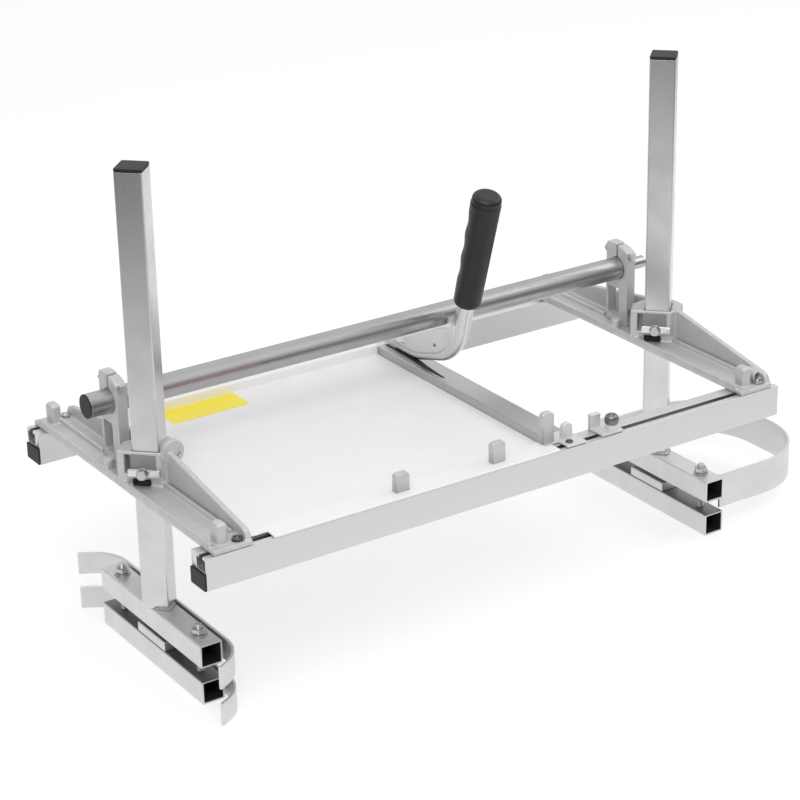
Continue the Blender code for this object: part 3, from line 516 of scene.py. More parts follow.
# %% Push tube
TUBE_OUTER, TUBE_BORE, INSIDE = 12.5, 10.5, 10.0  # radii, and how far a plug goes in
tube_left, tube_right = lowest("push_tube")[0], highest("push_tube")[0]
TUBE_Y, TUBE_Z = centre_of("push_tube")[1:]
at = (0, TUBE_Y, TUBE_Z)
tube = pipe(circle(TUBE_OUTER, 64), circle(TUBE_BORE, 64), "X", tube_left, tube_right)
piece("push_bar", [tube], "frame", TUBE_ZINC, "push_tube", at)
shells = [slab(circle(TUBE_OUTER - 0.1, 64), "X", tube_left - 1.5, tube_left - 0.3, 0.5),
          slab(circle(TUBE_BORE - 0.3, 48), "X", tube_left - 0.35, tube_left + INSIDE, 0.5)]
piece("push_bar_plug_left", shells, "frame", BLACK_ABS, "tube_plug_left", at)
shells = [slab(circle(7.0, 48), "X", tube_right + 0.35, highest("tube_plug_right")[0], 0.6),
          slab(circle(TUBE_BORE - 0.3, 48), "X", tube_right - INSIDE, tube_right + 0.3, 0.5)]
piece("push_bar_stub", shells, "frame", STUB_ZINC, "tube_plug_right", at)
print("push tube", round(tube_right - tube_left, 1), "mm long")

# %% Posts
POST = 14  # half of the square's side
COS_45 = np.sqrt(0.5)
TURN_45 = np.array([[COS_45, COS_45], [-COS_45, COS_45]])
for end in ENDS:
    low, high = box_of(f"{end}_post")
    at = (POST_X[end], AXIS_Y, 0)
    outer = rectangle((-POST, -POST), (POST, POST), 2.2, 6) @ TURN_45
    inner = rectangle((2 - POST, 2 - POST), (POST - 2, POST - 2), 0.8, 6) @ TURN_45
    post = pipe(outer, inner, "Z", low[2], high[2])
    piece(f"{end}_square_post", [post], f"{end}_post", ZINC_Z, f"{end}_post", at)
    top = highest(f"{end}_post_cap")[2]
    shells = [slab(drawn_in(outer, [0.1])[0], "Z", high[2] + 0.3, top, 0.9, 4),
              slab(drawn_in(inner, [0.3])[0], "Z", high[2] - 12, high[2] + 0.35, 0.4)]
    piece(f"{end}_cap", shells, f"{end}_post", BLACK_ABS, f"{end}_post_cap", at)
print("posts reach", round(top, 1), "mm")

# %% [markdown]
# ## Turned parts: nuts, heads and threads
# A nut is a hexagon and a cone at once: at each height and angle its radius is the smaller of
# the two, which gives the curved chamfer of a real nut. A thread is one groove that climbs one
# pitch in a turn, so its radius depends on height / pitch - angle / full turn.

# %% Turned parts
def lathed(levels, radius, axis="Z"):
    """Grid of points about an axis: one radius for each level and each of even angles."""
    angle = np.arange(radius.shape[1]) / radius.shape[1] * 2 * np.pi
    along, side, up = AXES[axis]
    around = np.cos(angle)[:, None] * side + np.sin(angle)[:, None] * up
    return levels[:, None, None] * along + radius[..., None] * around


def turned(profile, axis="Z", centre=(0, 0, 0), corner=None, sides=48, loop=False):
    """Shell turned about an axis from (radius, level) pairs. With corner, each radius is the
    smaller of itself and a hexagon's reach: corner * cos 30 / cos(angle % 60 - 30)."""
    profile = np.array(profile, float)
    angle = np.arange(sides) / sides * 2 * np.pi
    radius = np.broadcast_to(profile[:, :1], (len(profile), sides))
    if corner is not None:
        reach = corner * np.cos(np.pi / 6) / np.cos(angle % (np.pi / 3) - np.pi / 6)
        radius = np.minimum(radius, reach)
    return shell(np.array(centre, float) + lathed(profile[:, 1], radius, axis), loop)


def head(corner, low, high, axis="Z", centre=(0, 0, 0), chamfer=0.55):
    """Hexagon head, its outer end chamfered."""
    flat = corner * np.cos(np.pi / 6)
    step = chamfer if high > low else -chamfer
    profile = [(flat * 0.97, low), (corner, low + step * 0.35),
               (corner, high - step), (flat * 0.93, high)]
    return turned(profile, axis, centre, corner)


def nut(corner, bore, low, high, axis="Z"):
    """Hexagon nut, chamfered at both ends, with its bore."""
    flat = corner * np.cos(np.pi / 6)
    outside = [(flat * 0.96, low), (corner, low + 0.6), (corner, high - 0.6), (flat * 0.96, high)]
    hexagon = turned(outside, axis, corner=corner)[0].reshape(4, -1, 3)
    inside = [(bore + 0.5, high), (bore, high - 0.5), (bore, low + 0.5), (bore + 0.5, low)]
    inside = turned(inside, axis)[0].reshape(4, -1, 3)
    return shell(np.concatenate([hexagon, inside]), loop=True)


def washer(outer, bore, low, high, axis="Z", centre=(0, 0, 0)):
    """Flat ring with soft edges."""
    ring = [(outer - 0.25, low), (outer, low + 0.25), (outer, high - 0.25), (outer - 0.25, high),
            (bore, high), (bore, low)]
    return turned(ring, axis, centre, loop=True)


print("a nut of 13 mm across flats has corners at", round(6.5 / np.cos(np.pi / 6), 2), "mm")

# %% Threads and what is in a slot
def thread(radius, pitch, low, high, axis="Z", sides=24):
    """Threaded rod, its end chamfered: its radius less
    depth * |2 frac(level / pitch - angle / turn) - 1|, with a depth of 0.55 pitch."""
    level = np.linspace(low, high, max(int((high - low) / pitch * 6), 4))
    angle = np.arange(sides) / sides
    phase = (level[:, None] / pitch - angle[None, :]) % 1.0
    reach = radius - 0.55 * pitch * np.abs(2 * phase - 1)
    reach = np.minimum(reach, radius - 0.9 + (high - level)[:, None] * 0.9)
    return shell(lathed(level, reach, axis))


def in_slot(radius, top, edge):
    """Shank of a bolt from a level above the rail's top down into its slot, and its nut there."""
    nut_radius, nut_low, nut_high = 7.1, -7.2, -3.4
    return [slab(circle(radius, 24), "Z", nut_high, top, edge),
            slab(circle(nut_radius, 32), "Z", nut_low, nut_high, 0.4)]


print("a thread of 10 mm has", len(thread(4.0, 1.25, 0, 10)[0]), "points")

# %% [markdown]
# ## Clamps
# Each clamp is two pieces of square tube with a pad between, drawn together on the guide bar
# by two bolts. The bolts' heads are inside the lower tube, so only their threads, washers
# and nuts show. In the gap between the tubes the zinc is greyed as painted shade, and a dark
# sleeve inside each tube is painted shade too. Welds tie the post to the upper tube, as small
# overlapping drops: a bead whose radius swells and shrinks once per drop along its path.

# %% Weld bead and painted shade in the gap
def bead(path, radius, drop=3.6, sides=12):
    """Weld bead along an open path of points: a round section that swells once per drop."""
    path = np.array(path, float)
    step = np.linalg.norm(np.diff(path, axis=0), axis=1)
    run = np.concatenate([[0], np.cumsum(step)])
    even = np.linspace(0, run[-1], max(int(run[-1] / drop * 8), 8))
    path = np.column_stack([np.interp(even, run, path[:, i]) for i in range(3)])
    along = unit(np.gradient(path, axis=0))
    side = unit(np.cross(along, [0.31, 0.22, 0.93]))
    size = 1 + 0.2 * np.cos(2 * np.pi * even / drop)
    size *= np.sqrt(np.clip(np.minimum(even, run[-1] - even) / radius + 0.15, 0.15, 1))
    return swept(circle(radius, sides), path, side, np.cross(side, along), 0.05, 1, size)


def painted_shade_between(material, bottom, top):
    """Paints shade into a material's metal between two levels, fading over the next millimetre."""
    tree = material.node_tree
    shader = tree.nodes["Principled BSDF"]
    bright = shader.inputs["Base Color"].links[0].from_socket
    place = tree.nodes["Texture Coordinate"].outputs["Object"]
    level = node(tree, "ShaderNodeSeparateXYZ", {0: place}).node.outputs["Z"]
    away = maths(tree, "ABSOLUTE", maths(tree, "SUBTRACT", level, (bottom + top) / 2 * MM))
    reach = (top - bottom) / 2 + 0.2
    share = scaled(tree, away, reach * MM, (reach + 1.0) * MM, 0.0, 1.0)
    tree.links.new(blend(tree, share, linear("#8b8d8d"), bright), shader.inputs["Base Color"])


# the clamp tubes' zinc, greyed between the tubes as painted shade
GAP_SHADED_ZINC = plated_steel("clamp_zinc_painted_shade_in_gap", 1, ("#d3d4d6", "#dfe0e1"), (0.38, 0.48))
painted_shade_between(GAP_SHADED_ZINC, highest("left_lower_tube")[2], lowest("left_upper_tube")[2])
print("gap of", round(lowest("left_upper_tube")[2] - highest("left_lower_tube")[2], 1), "mm")

# %% Clamps
NUT_CORNER, BOLT_RADIUS, PITCH = 7.4, 4.0, 1.25
clamp_tube, clamp_bore, bore_shade_inside = (rectangle((-half, -half), (half, half), corner, 5)
                                       for half, corner in ((12.5, 1.7), (10.6, 0.8), (10.2, 0.8)))
for end in ENDS:
    for level, body in (("lower", f"{end}_jaw"), ("upper", f"{end}_post")):
        name = f"{end}_{level}_tube"
        low, high = box_of(name)
        at = (POST_X[end], 0, centre_of(name)[2])
        tube = pipe(clamp_tube, clamp_bore, "Y", low[1], high[1], 0.4)
        piece(f"{end}_{level}_clamp_tube", [tube], body, GAP_SHADED_ZINC, name, at)
        # a dark sleeve inside each clamp tube: painted shade in its bore
        scale = pipe(clamp_bore, bore_shade_inside, "Y", low[1] + 0.8, high[1] - 0.8, 0.1)
        piece(f"{end}_{level}_painted_shade_sleeve", [scale], body, BORE_SHADE_PAINT, None, at)
    low, high = box_of(f"{end}_pad")
    pad = slab(rectangle((-12.2, low[2]), (12.2, high[2]), 1.2), "Y", low[1], high[1], 0.6)
    at = (POST_X[end], 0, 0)
    piece(f"{end}_clamp_pad", [pad], f"{end}_jaw", CLAMP_ZINC, f"{end}_pad", at)
    for word in ("front", "rear"):
        name = f"{end}_bolt_{word}"
        low, high = box_of(name)
        at = (POST_X[end], centre_of(name)[1], 0)
        shells = [head(NUT_CORNER, low[2], low[2] + 5.5),
                  thread(BOLT_RADIUS, PITCH, low[2] + 5.0, high[2])]
        piece(f"{end}_clamp_bolt_{word}", shells, f"{end}_jaw", FASTENER, name, at)
        name = f"{end}_nut_{word}"
        low, high = box_of(name)
        shells = [nut(NUT_CORNER, BOLT_RADIUS + 0.3, low[2] + 1.0, high[2]),
                  washer(8.6, BOLT_RADIUS + 0.4, low[2] - 0.2, low[2] + 1.0)]
        piece(f"{end}_clamp_nut_{word}", shells, f"{end}_post", FASTENER, name, at)
    foot = lowest(f"{end}_post")[2]
    front = np.array([(-11.5, -9.3, foot), (0, -20.6, foot), (11.5, -9.3, foot)])
    beads = [bead(front, 2.4), bead(front * [1, -1, 1], 2.4)]
    at = (POST_X[end], AXIS_Y, 0)
    piece(f"{end}_post_weld", beads, f"{end}_post", WELD, None, at)
print("nuts reach", round(high[2] - foot, 1), "mm above the upper tube")

# %% [markdown]
# ## Skids and nose guard
# Flat steel bands glide along the log: two beside the left clamp with both ends bent back,
# and a deep U on the right one, which keeps hands off the tip of the guide bar. A band is an
# upright section with round corners, swept along a flat path made of straight runs and arcs.

# %% Bands
def eased(corners, radius, steps):
    """Open flat path through corners, each inner one turned along an arc."""
    turned_path = rounded(corners, radius, steps)[steps + 1:-(steps + 1)]
    return np.concatenate([[corners[0]], turned_path, [corners[-1]]])


def band(path, thickness, height, edge=0.5):
    """Upright band on the left of a flat path."""
    flat = np.column_stack([path, np.zeros(len(path))])
    along = unit(np.gradient(flat, axis=0))
    left = np.cross([0, 0, 1.0], along)
    return swept(rectangle((0, 0), (thickness, height), 0.7, 3), flat, left, [0, 0, 1.0], edge)


print("a band of two points has", len(band([(0, 0), (1, 0)], 1, 1)[0]), "points")

# %% Skids and guard
SKID_RADIUS, SKID_TURN, SKID_TIP = 47.0, np.radians(62), 11.0
turn_steps = np.linspace(0, SKID_TURN, 25)
half_length = (highest("left_upper_tube")[1] - lowest("left_upper_tube")[1]) / 2
bend_path = np.column_stack([SKID_RADIUS * np.cos(turn_steps) - SKID_RADIUS,
                             half_length + SKID_RADIUS * np.sin(turn_steps)])
tip = bend_path[-1] + SKID_TIP * np.array([-np.sin(SKID_TURN), np.cos(SKID_TURN)])
front_half = np.concatenate([bend_path, [tip]])
skid_path = np.concatenate([front_half[::-1] * [1, -1], front_half])
for level, body in (("lower", "left_jaw"), ("upper", "left_post")):
    name = f"left_{level}_skid"
    low, high = box_of(name)
    at = (high[0] - 0.02, AXIS_Y, low[2])
    skid = band(skid_path, 3.0, high[2] - low[2])
    piece(f"left_{level}_skid_band", [skid], body, CLAMP_ZINC, name, at)

low, high = box_of("nose_guard")
half = (high[1] - low[1]) / 2
corners = [(low[0], -half), (high[0], -half), (high[0], half), (low[0], half)]
guard_band = band(eased(corners, 80.0, 24), 3.0, high[2] - low[2])
at = (0, AXIS_Y, low[2])
piece("nose_guard_band", [guard_band], "right_post", CLAMP_ZINC, "nose_guard", at)
print("guard reaches", round(high[0] - POST_X["right"], 1), "mm past the post")

# %% [markdown]
# ## Cover plate and label
# A folded sheet covers the frame between the left bracket and the cross bar. It is a shallow
# tray between the rails, its long edges folded up and out so that they lie on them. Its section
# runs straight along the rails, so it is an outline carried along, with a notch cut for the
# left post and the corners cut back. The label on it stays blank: a thin yellow vinyl sticker.

# %% Section of the cover plate
low, high = box_of("cover_plate")
THICK = 2.0
PLATE_TOP = low[2] + THICK
inner_front, inner_rear = highest("rail_front")[1] + 0.3, lowest("rail_rear")[1] - 0.3
under = RAIL_TOP + 0.05
section = [(inner_front, low[2]), (inner_rear, low[2]), (inner_rear, under), (high[1], under),
           (high[1], high[2]), (inner_rear - THICK, high[2]), (inner_rear - THICK, PLATE_TOP),
           (inner_front + THICK, PLATE_TOP), (inner_front + THICK, high[2]), (low[1], high[2]),
           (low[1], under), (inner_front, under)]
bends = [2.6, 2.6, 0.6, 0.35, 0.9, 2.4, 0.6, 0.6, 2.4, 0.9, 0.35, 0.6]
sheet = slab(rounded(section, bends, 6), "X", low[0], high[0], 0.25)
print("tray of", round(inner_rear - inner_front, 1), "mm between the rails")

# %% Notch, corners, label and stripe
room = POST + 3
notch = rectangle((-room, -room), (room, room), 3.0) @ TURN_45 + [POST_X["left"], AXIS_Y]
shelf = high[2] - THICK - 1
slot_edge = low[1] - 0.5 + HALF + SLOT_MIDDLE + MOUTH
corner_left = rectangle((low[0] - 50, low[1] - 10), (-341, slot_edge), 1.5)
peg = lowest("bar_peg") - [0.3, 3.8, 0]
corner_right = [(-7.5, low[1] - 10), (high[0] + 20, low[1] - 10), (high[0] + 20, -152),
                (peg[0], -152), (peg[0], peg[1]), (-7.5, peg[1])]
cuts = [slab(notch, "Z", 150, 250, 0.1), slab(corner_left, "Z", shelf, 250, 0.1),
        slab(rounded(corner_right, 1.0), "Z", shelf, 250, 0.1)]
piece("cover_sheet", [sheet], "frame", POWDER_COAT, "cover_plate", cuts=cuts)
label = rectangle((-280, 120.5), (-187.5, 159.3), 2.0)
label = slab(label, "Z", PLATE_TOP - 0.1, PLATE_TOP + 0.25, 0.1)
piece("blank_label", [label], "frame", YELLOW_VINYL)

# a red stripe along the push bar's front: a painted reflection
angle = np.radians(np.linspace(7, 16, 9))
ring = np.column_stack([-np.cos(angle), np.sin(angle)])
stripe = np.concatenate([ring * (TUBE_OUTER + 0.12), ring[::-1] * (TUBE_OUTER - 0.3)])
stripe = slab(stripe, "X", -334, -220, 0.05, 1)
piece("painted_reflection_stripe", [stripe], "frame", RED_REFLECTION_PAINT, None, (0, TUBE_Y, TUBE_Z))
print("plate", round(RAIL_TOP - PLATE_TOP, 1), "mm below the rails' tops")

# %% [markdown]
# ## Castings as a distance field
# The brackets are castings: walls, ribs and bosses that flow into each other with soft
# fillets. A grid of two parameters can't branch like that. So a casting is made another way:
# numpy gives the distance to each rib and wall at every point of a block of space, a soft
# minimum joins them with fillets as wide as a mould needs, and the skin is drawn where the
# distance turns from negative to positive.

# %% Distances
def between(flat, w, low, high, edge):
    """Distance from a prism, from the distance to its outline and the height w: the two sides
    of a right angle, less the round edge."""
    flat, tall = flat + edge, np.abs(w - (low + high) / 2) - (high - low) / 2 + edge
    outside = np.hypot(np.maximum(flat, 0), np.maximum(tall, 0))
    return outside + np.minimum(np.maximum(flat, tall), 0) - edge


def split(p, axis):
    """Coordinates along an axis and across it, in the order of the letters."""
    return (p["XYZ".index(letter)] for letter in (axis + "XYZ".replace(axis, "")))


def of_prism(p, outline, axis, low, high, edge=0.8):
    """Distance from a prism with round edges. Its flat distance is measured from the outline
    drawn in by edge."""
    w, u, v = split(p, axis)
    outline = drawn_in(np.array(outline, float), [edge])[0]
    nearest = np.inf
    inside = False
    for (au, av), (bu, bv) in zip(outline, np.roll(outline, -1, axis=0)):
        eu, ev = bu - au, bv - av
        share = np.clip(((u - au) * eu + (v - av) * ev) / (eu * eu + ev * ev), 0, 1)
        nearest = np.minimum(nearest, np.hypot(u - au - share * eu, v - av - share * ev))
        if av != bv:
            inside = inside ^ (((av > v) != (bv > v)) & (u < au + (v - av) * eu / ev))
    return between(np.where(inside, -nearest, nearest) - edge, w, low, high, edge)


def of_block(p, low, high, edge=0.8):
    """Distance from a box with round edges."""
    half = (np.array(high, float) - low) / 2
    edge = min(edge, half.min())
    q = [np.abs(c - a - h) - h + edge for c, a, h in zip(p, low, half)]
    outside = np.sqrt(sum(np.maximum(part, 0) ** 2 for part in q))
    return outside + np.minimum(np.maximum(np.maximum(q[0], q[1]), q[2]), 0) - edge


def of_rod(p, axis, centre, radius, low, high, edge=0.3):
    """Distance from a round rod."""
    w, u, v = split(p, axis)
    return between(np.hypot(u - centre[0], v - centre[1]) - radius, w, low, high, edge)


def joined(a, b, fillet):
    """Smaller of two distances, less fillet * h^2 / 4 where they are alike, with
    h = 1 - |a - b| / fillet, which fills the inside corner."""
    h = np.maximum(1 - np.abs(a - b) / fillet, 0)
    return np.minimum(a, b) - fillet * h * h / 4


def less(a, b, edge):
    """Distance from a without b, the rim between them softened."""
    return -joined(-a, b, edge)


print("a fillet of 3 mm fills", round(3 / 4, 2), "mm into the corner")

# %% Skin of a field
STEP = 0.05  # to either side of a point, where its slope is measured


def skin(distance, low, high, cell):
    """Shell where a distance field is zero, a point in each cell of a grid that it crosses: the
    mean of the crossings on the cell's edges, then moved onto the surface along the slope."""
    low = np.array(low, float)
    count = np.ceil((np.array(high) - low) / cell).astype(int) + 1
    ticks = [low[i] + cell * np.arange(count[i]) for i in range(3)]
    field = distance(np.meshgrid(*ticks, indexing="ij", sparse=True))
    field = np.broadcast_to(field, count)
    total = np.zeros((*(count - 1), 3))
    hits = np.zeros(count - 1)
    edges = []
    for axis in range(3):
        order = np.roll([0, 1, 2], -axis)
        turned_field = field.transpose(order)
        here, there = turned_field[:-1], turned_field[1:]
        crossed = (here < 0) != (there < 0)
        share = np.where(crossed, here / np.where(crossed, here - there, 1), 0)
        back = np.argsort(order)
        for b in (0, 1):
            for c in (0, 1):
                part = (slice(None), *(slice(shift, shift + size - 1)
                                       for shift, size in zip((b, c), crossed.shape[1:])))
                near = crossed[part].transpose(back)
                hits += near
                total[..., axis] += share[part].transpose(back)
                total[..., (axis + 1) % 3] += near * b
                total[..., (axis + 2) % 3] += near * c
        edges.append((crossed, here < 0, order))
    cells = np.argwhere(hits > 0)
    number = np.full(count - 1, -1)
    number[tuple(cells.T)] = np.arange(len(cells))
    points = low + cell * (cells + (total / np.maximum(hits, 1)[..., None])[tuple(cells.T)])
    slope = np.empty_like(points)
    for _ in range(2):
        value = distance(points.T)
        for i in range(3):
            nudge = STEP * np.eye(3)[:, i:i + 1]
            slope[:, i] = (distance(points.T + nudge) - distance(points.T - nudge)) / (2 * STEP)
        slope /= np.maximum(np.linalg.norm(slope, axis=1, keepdims=True), 0.3)
        points = points - np.clip(value, -cell / 2, cell / 2)[:, None] * slope
    quads = []
    for axis, (crossed, inside, order) in enumerate(edges):
        a, b, c = np.nonzero(crossed[:, 1:-1, 1:-1])
        grid = number.transpose(order)
        ring = [grid[a, b, c], grid[a, b + 1, c], grid[a, b + 1, c + 1], grid[a, b, c + 1]]
        ring = np.stack(ring, axis=1)
        outward = inside[:, 1:-1, 1:-1][a, b, c]
        quads.append(np.where(outward[:, None], ring, ring[:, ::-1]))
    return points, np.concatenate(quads), []


sample = skin(lambda p: of_rod(p, "Z", (0, 0), 5, 0, 10), (-6, -6, -1), (6, 6, 11), 1.0)
print("a rod of 10 mm has", len(sample[0]), "points on a grid of 1 mm")

# %% [markdown]
# ## Brackets
# Each bracket lies across both rails on a flat sole. A web along its right side rises to the
# hub round the post and falls again to the ends, a low lip and two ribs stiffen the sole, and
# a boss stands by each foot bolt. The hub's front wall is slanted, square to the turned post,
# with a wide window high up and a low hole under it. The left hub has a round ear with two
# short slots, and the right bracket a short sleeve at its front end.

# %% Brackets
FRONT_END = lowest("left_bracket")[1] - AXIS_Y
REAR_END = highest("left_bracket")[1] - AXIS_Y
POST_AT = 9.0  # the post's axis from the bracket's middle, along x
WEB = [(REAR_END - 3, 2), (REAR_END - 3, 7), (REAR_END - 6.3, 13), (REAR_END - 10, 15), (26, 41),
       (-24, 41), (FRONT_END + 10, 15), (FRONT_END + 6.3, 13), (FRONT_END + 3, 7), (FRONT_END + 3, 2)]
HUB = [(-23.3, 8.8), (8, -23), (16, -23), (36, -10), (36, 10), (24, 23), (17, 25.2), (-7.5, 24.5)]
# lip, rib at the web's foot, rear rib and the two bosses: corners, edge and fillet
RIBS = [((-20.8, FRONT_END + 10, 3), (-17, REAR_END - 10, 9), 0.8, 1.6),
        ((9.5, FRONT_END + 24, 3), (13, -20, 9.5), 0.8, 1.5),
        ((-3, 83, 3), (1, REAR_END - 15, 10), 0.8, 2.0),
        ((-12, FRONT_END + 8, 3), (0, FRONT_END + 24, 26), 4.5, 1.5),
        ((-12, REAR_END - 24, 3), (0, REAR_END - 8, 26), 4.5, 1.5)]
# window in the slanted wall, its way round the left corner, and low hole: corners and edge
WINDOWS = [((-21.5, -24, 16.4), (11.1, -16.9, 38.1), 1.5),
           ((-21.3, -20, 16.4), (-15, -2, 37.1), 1.0),
           ((-13.5, -24, 4.8), (4.5, -12, 11.5), 1.5)]


def bracket(p, ear):
    """Distance from a bracket, about its middle on the rails' tops."""
    part = of_block(p, (-21, FRONT_END, 0.3), (21, REAR_END, 5), 0.9)  # the sole
    part = joined(part, of_prism(p, WEB, "X", 15, 21, 0.9), 2.5)
    part = joined(part, of_prism(p, HUB, "Z", 3, 40.5, 1.0), 2.5)
    part = joined(part, of_rod(p, "Z", (-13.2, 46.3), 5.5, 2.5, 17, 1.5), 1.5)  # small boss
    for low, high, edge, fillet in RIBS:
        part = joined(part, of_block(p, low, high, edge), fillet)
    if ear:
        part = joined(part, of_rod(p, "Y", (21.5, 40), 12, -26, -18, 0.8), 1.5)
        for slot_x, slot_z in ((12.5, 50.5), (25.5, 34.5)):
            x, z = p[0] - slot_x, p[2] - slot_z
            turned_p = [(x + z) * COS_45, p[1], (z - x) * COS_45]
            part = less(part, of_block(turned_p, (-4.6, -32, -1.2), (4.6, -23, 1.2), 0.5), 0.4)
    else:
        sleeve = of_rod(p, "Y", (11, 11.3), 5.7, -164, -146, 0.5)
        sleeve = less(sleeve, of_rod(p, "Y", (11, 11.3), 3.6, -170, -150), 0.6)
        part = joined(part, sleeve, 1.0)
    room = POST + 0.4
    post_hole = rectangle((-room, -room), (room, room), 1.5) @ TURN_45 + [POST_AT, 0]
    part = less(part, of_prism(p, post_hole, "Z", -10, 60, 0.1), 0.8)
    x, y = p[0] - POST_AT, p[1]
    turned_p = [(x - y) / 2 ** 0.5, (x + y) / 2 ** 0.5, p[2]]
    for low, high, edge in WINDOWS:
        part = less(part, of_block(turned_p, low, high, edge), 0.8)
    for y in (FRONT_END + 10, REAR_END - 10):
        part = less(part, of_rod(p, "Z", (9.7, y), 3.4, -10, 10), 0.6)
    return part


print("a bracket is", round(REAR_END - FRONT_END, 1), "mm long")

# %% Two brackets
low, high = (-25, FRONT_END - 2, -2), (38, REAR_END + 2, 54)
for end in ENDS:
    casting = skin(lambda p: bracket(p, end == "left"), low, high, 1.1)
    at = (BRACKET_X[end], AXIS_Y, RAIL_TOP)
    name = f"{end}_bracket"
    piece(f"{name}_casting", [casting], CARRIER[end], CASTING, name, at)
    print(end, "bracket:", len(casting[1]), "faces")

# %% [markdown]
# ## What is bolted to a bracket
# A flat bar lies on the hub's slanted wall, and the screw through it presses on the post. The
# same shapes are built square to the axes and then turned with the post. Behind the low hole
# lies a dark pad, and the window ends on a plate of darker casting grey that is painted shade.
# Low bolts hold the sole to nuts in the rails' slots; the left front one is dark as painted shade.

# %% Saddles, screws and foot bolts
def turned_to_post(shells):
    """Shells turned with the post, about its axis."""
    return [(np.column_stack([places[:, :2] @ TURN_45.T, places[:, 2]]), quads, ends)
            for places, quads, ends in shells]


SCREW = (-1, 0, 20.8)
bar = slab(rectangle((-16.4, 16.6), (16.4, 24.9), 1.6), "Y", -23.9, -17.4, 1.2, 4)
screw = [head(5.6, -24.4, -29.4, "Y", SCREW, 0.8), washer(6.6, 3.2, -24.4, -23.8, "Y", SCREW),
         slab(circle(3.0, 24, SCREW[::2]), "Y", -24.5, -14.6, 0.4)]
pad = slab(rectangle((-13.3, 5.0), (4.3, 11.3), 0.8), "Y", -17.6, -14.6, 0.3)
recess = slab(rectangle((-14.6, 16.6), (10.9, 37.9), 1.4), "Y", -17.3, -16.4, 0.2)
cap = [(5.0, 5.4), (5.1, 5.6), (5.1, 7.4), (4.7, 7.8), (2.9, 7.8), (2.6, 7.5), (2.5, 6.1), (0.3, 6.0)]
for end in ENDS:
    body = CARRIER[end]
    at = (BRACKET_X[end] + POST_AT, AXIS_Y, RAIL_TOP)
    # the plate at the back of each window has a darker grey as painted shade
    for name, shells, slot, material, node_name in (
            ("saddle_bar", [bar], "zinc_steel", SADDLE_ZINC, f"{end}_saddle"),
            ("post_set_screw", screw, "fastener_steel", FASTENER, f"{end}_post_screw"),
            ("black_pad_in_low_hole", [pad], "black_plug", BLACK_ABS, None),
            ("painted_shade_recess_plate", [recess], "casting", RECESS_SHADE_CASTING, None)):
        piece(f"{end}_{name}", turned_to_post(shells), body, material, node_name, at)
    for word in ("front", "rear"):
        name = f"{end}_foot_bolt_{word}"
        at = (*centre_of(name)[:2], RAIL_TOP)
        shells = [turned(cap), washer(5.9, 3.2, 5.0, 5.4), *in_slot(3.0, 5.8, 0.3)]
        # the left front foot bolt is coloured dark as painted shade
        steel = DARK_STEEL_AND_BOLT_SHADE if (end, word) == ("left", "front") else FASTENER
        piece(f"{end}_sole_bolt_{word}", shells, body, steel, name, at)
print("saddles and foot bolts made")

# %% [markdown]
# ## Hangers of the push bar
# A hanger stands on each bracket and holds the push bar in a split eye: a bolt across the
# split pulls it shut. It is cast too, on two legs with a slot between.

# %% Hangers
EYE = TUBE_Z - RAIL_TOP  # height of the push bar's axis


def hanger(p):
    """Distance from a hanger, about the bracket's middle on the rails' tops."""
    outline = [(43, 5.3), (80, 5.3), (80, 95), (77, 98), (65, 98), (51, 95), (43, 91)]
    part = of_prism(p, outline, "X", -2, 10, 1.0)
    part = less(part, of_rod(p, "X", (61, EYE), 12.8, -12, 20), 0.6)
    part = less(part, of_block(p, (-12, 59.4, EYE), (20, 62.6, 120), 0.2), 0.5)  # split
    part = less(part, of_block(p, (-12, 57, 12), (20, 76, 46), 3.0), 0.8)  # between the legs
    part = less(part, of_block(p, (0.5, 33, 14), (7.5, 50, 24), 1.2), 0.6)  # front pocket
    return less(part, of_rod(p, "Y", (4, 87.2), 2.9, 30, 90), 0.4)  # bolt


casting = skin(hanger, (-4, 41, 4), (12, 82, 105), 0.7)
for end in ENDS:
    at = (BRACKET_X[end], AXIS_Y, RAIL_TOP)
    name = f"{end}_tube_bracket"
    piece(f"{end}_hanger", [casting], CARRIER[end], CASTING, name, at)
    name = f"{end}_pinch_bolt"
    low, high = box_of(name)
    shells = [head(4.8, low[1] + 4, low[1], "Y", chamfer=0.45),
              thread(2.5, 0.8, low[1] + 3.5, high[1], "Y"),
              nut(4.8, 2.4, high[1] - 8, high[1] - 3, "Y")]
    at = centre_of(name) * [1, 0, 1]
    piece(f"{end}_eye_bolt", shells, CARRIER[end], FASTENER, name, at)
print("hanger faces:", len(casting[1]))

# %% [markdown]
# ## Handle
# The handle is one bent tube with a web plate in its bend, welded on and plated with it. The
# tube is round under the grip and pressed flatter where it runs into the plate, so the sweep
# takes one size across and another along the plate. The grip is moulded rubber: round at the
# front, with waves for three fingers at the back, so its radius depends on height and angle:
# r = base(height) - depth * (1 - cos(2 pi * 3 * share)) / 2 * max(0, cos(angle to the back))^0.7.
# A thin black sheet on the bar under the handle's foot is painted shadow and reflection of it.

# %% Handle tube and plate
GRIP_LOW = np.array([16.0 + AXIS_Y, 292.0])  # (y, z) of the grip's ends
GRIP_HIGH = np.array([-23.4 + AXIS_Y, 422.6])
BEND = 60.0
SIDEWAYS = np.array([1.0, 0, 0])
axis_up = unit(GRIP_HIGH - GRIP_LOW)
foot_z = RAIL_TOP + 5.8
corners = np.array([(150.0, foot_z), (112.0, foot_z), (76.0, foot_z + 11.5)]) + [AXIS_Y, 0]
lower = eased(corners, BEND, 8)
upper = eased(np.array([lower[-1], (36.0 + AXIS_Y, 227.0), GRIP_LOW]), BEND, 16)
flat_path = np.concatenate([lower[:-1], upper, [GRIP_LOW + axis_up * 108.0]])
path = np.column_stack([np.full(len(flat_path), BAR_X), flat_path])
along = unit(np.gradient(path, axis=0))
share = np.clip((path[:, 2] - foot_z) / (262.0 - foot_z), 0, 1)
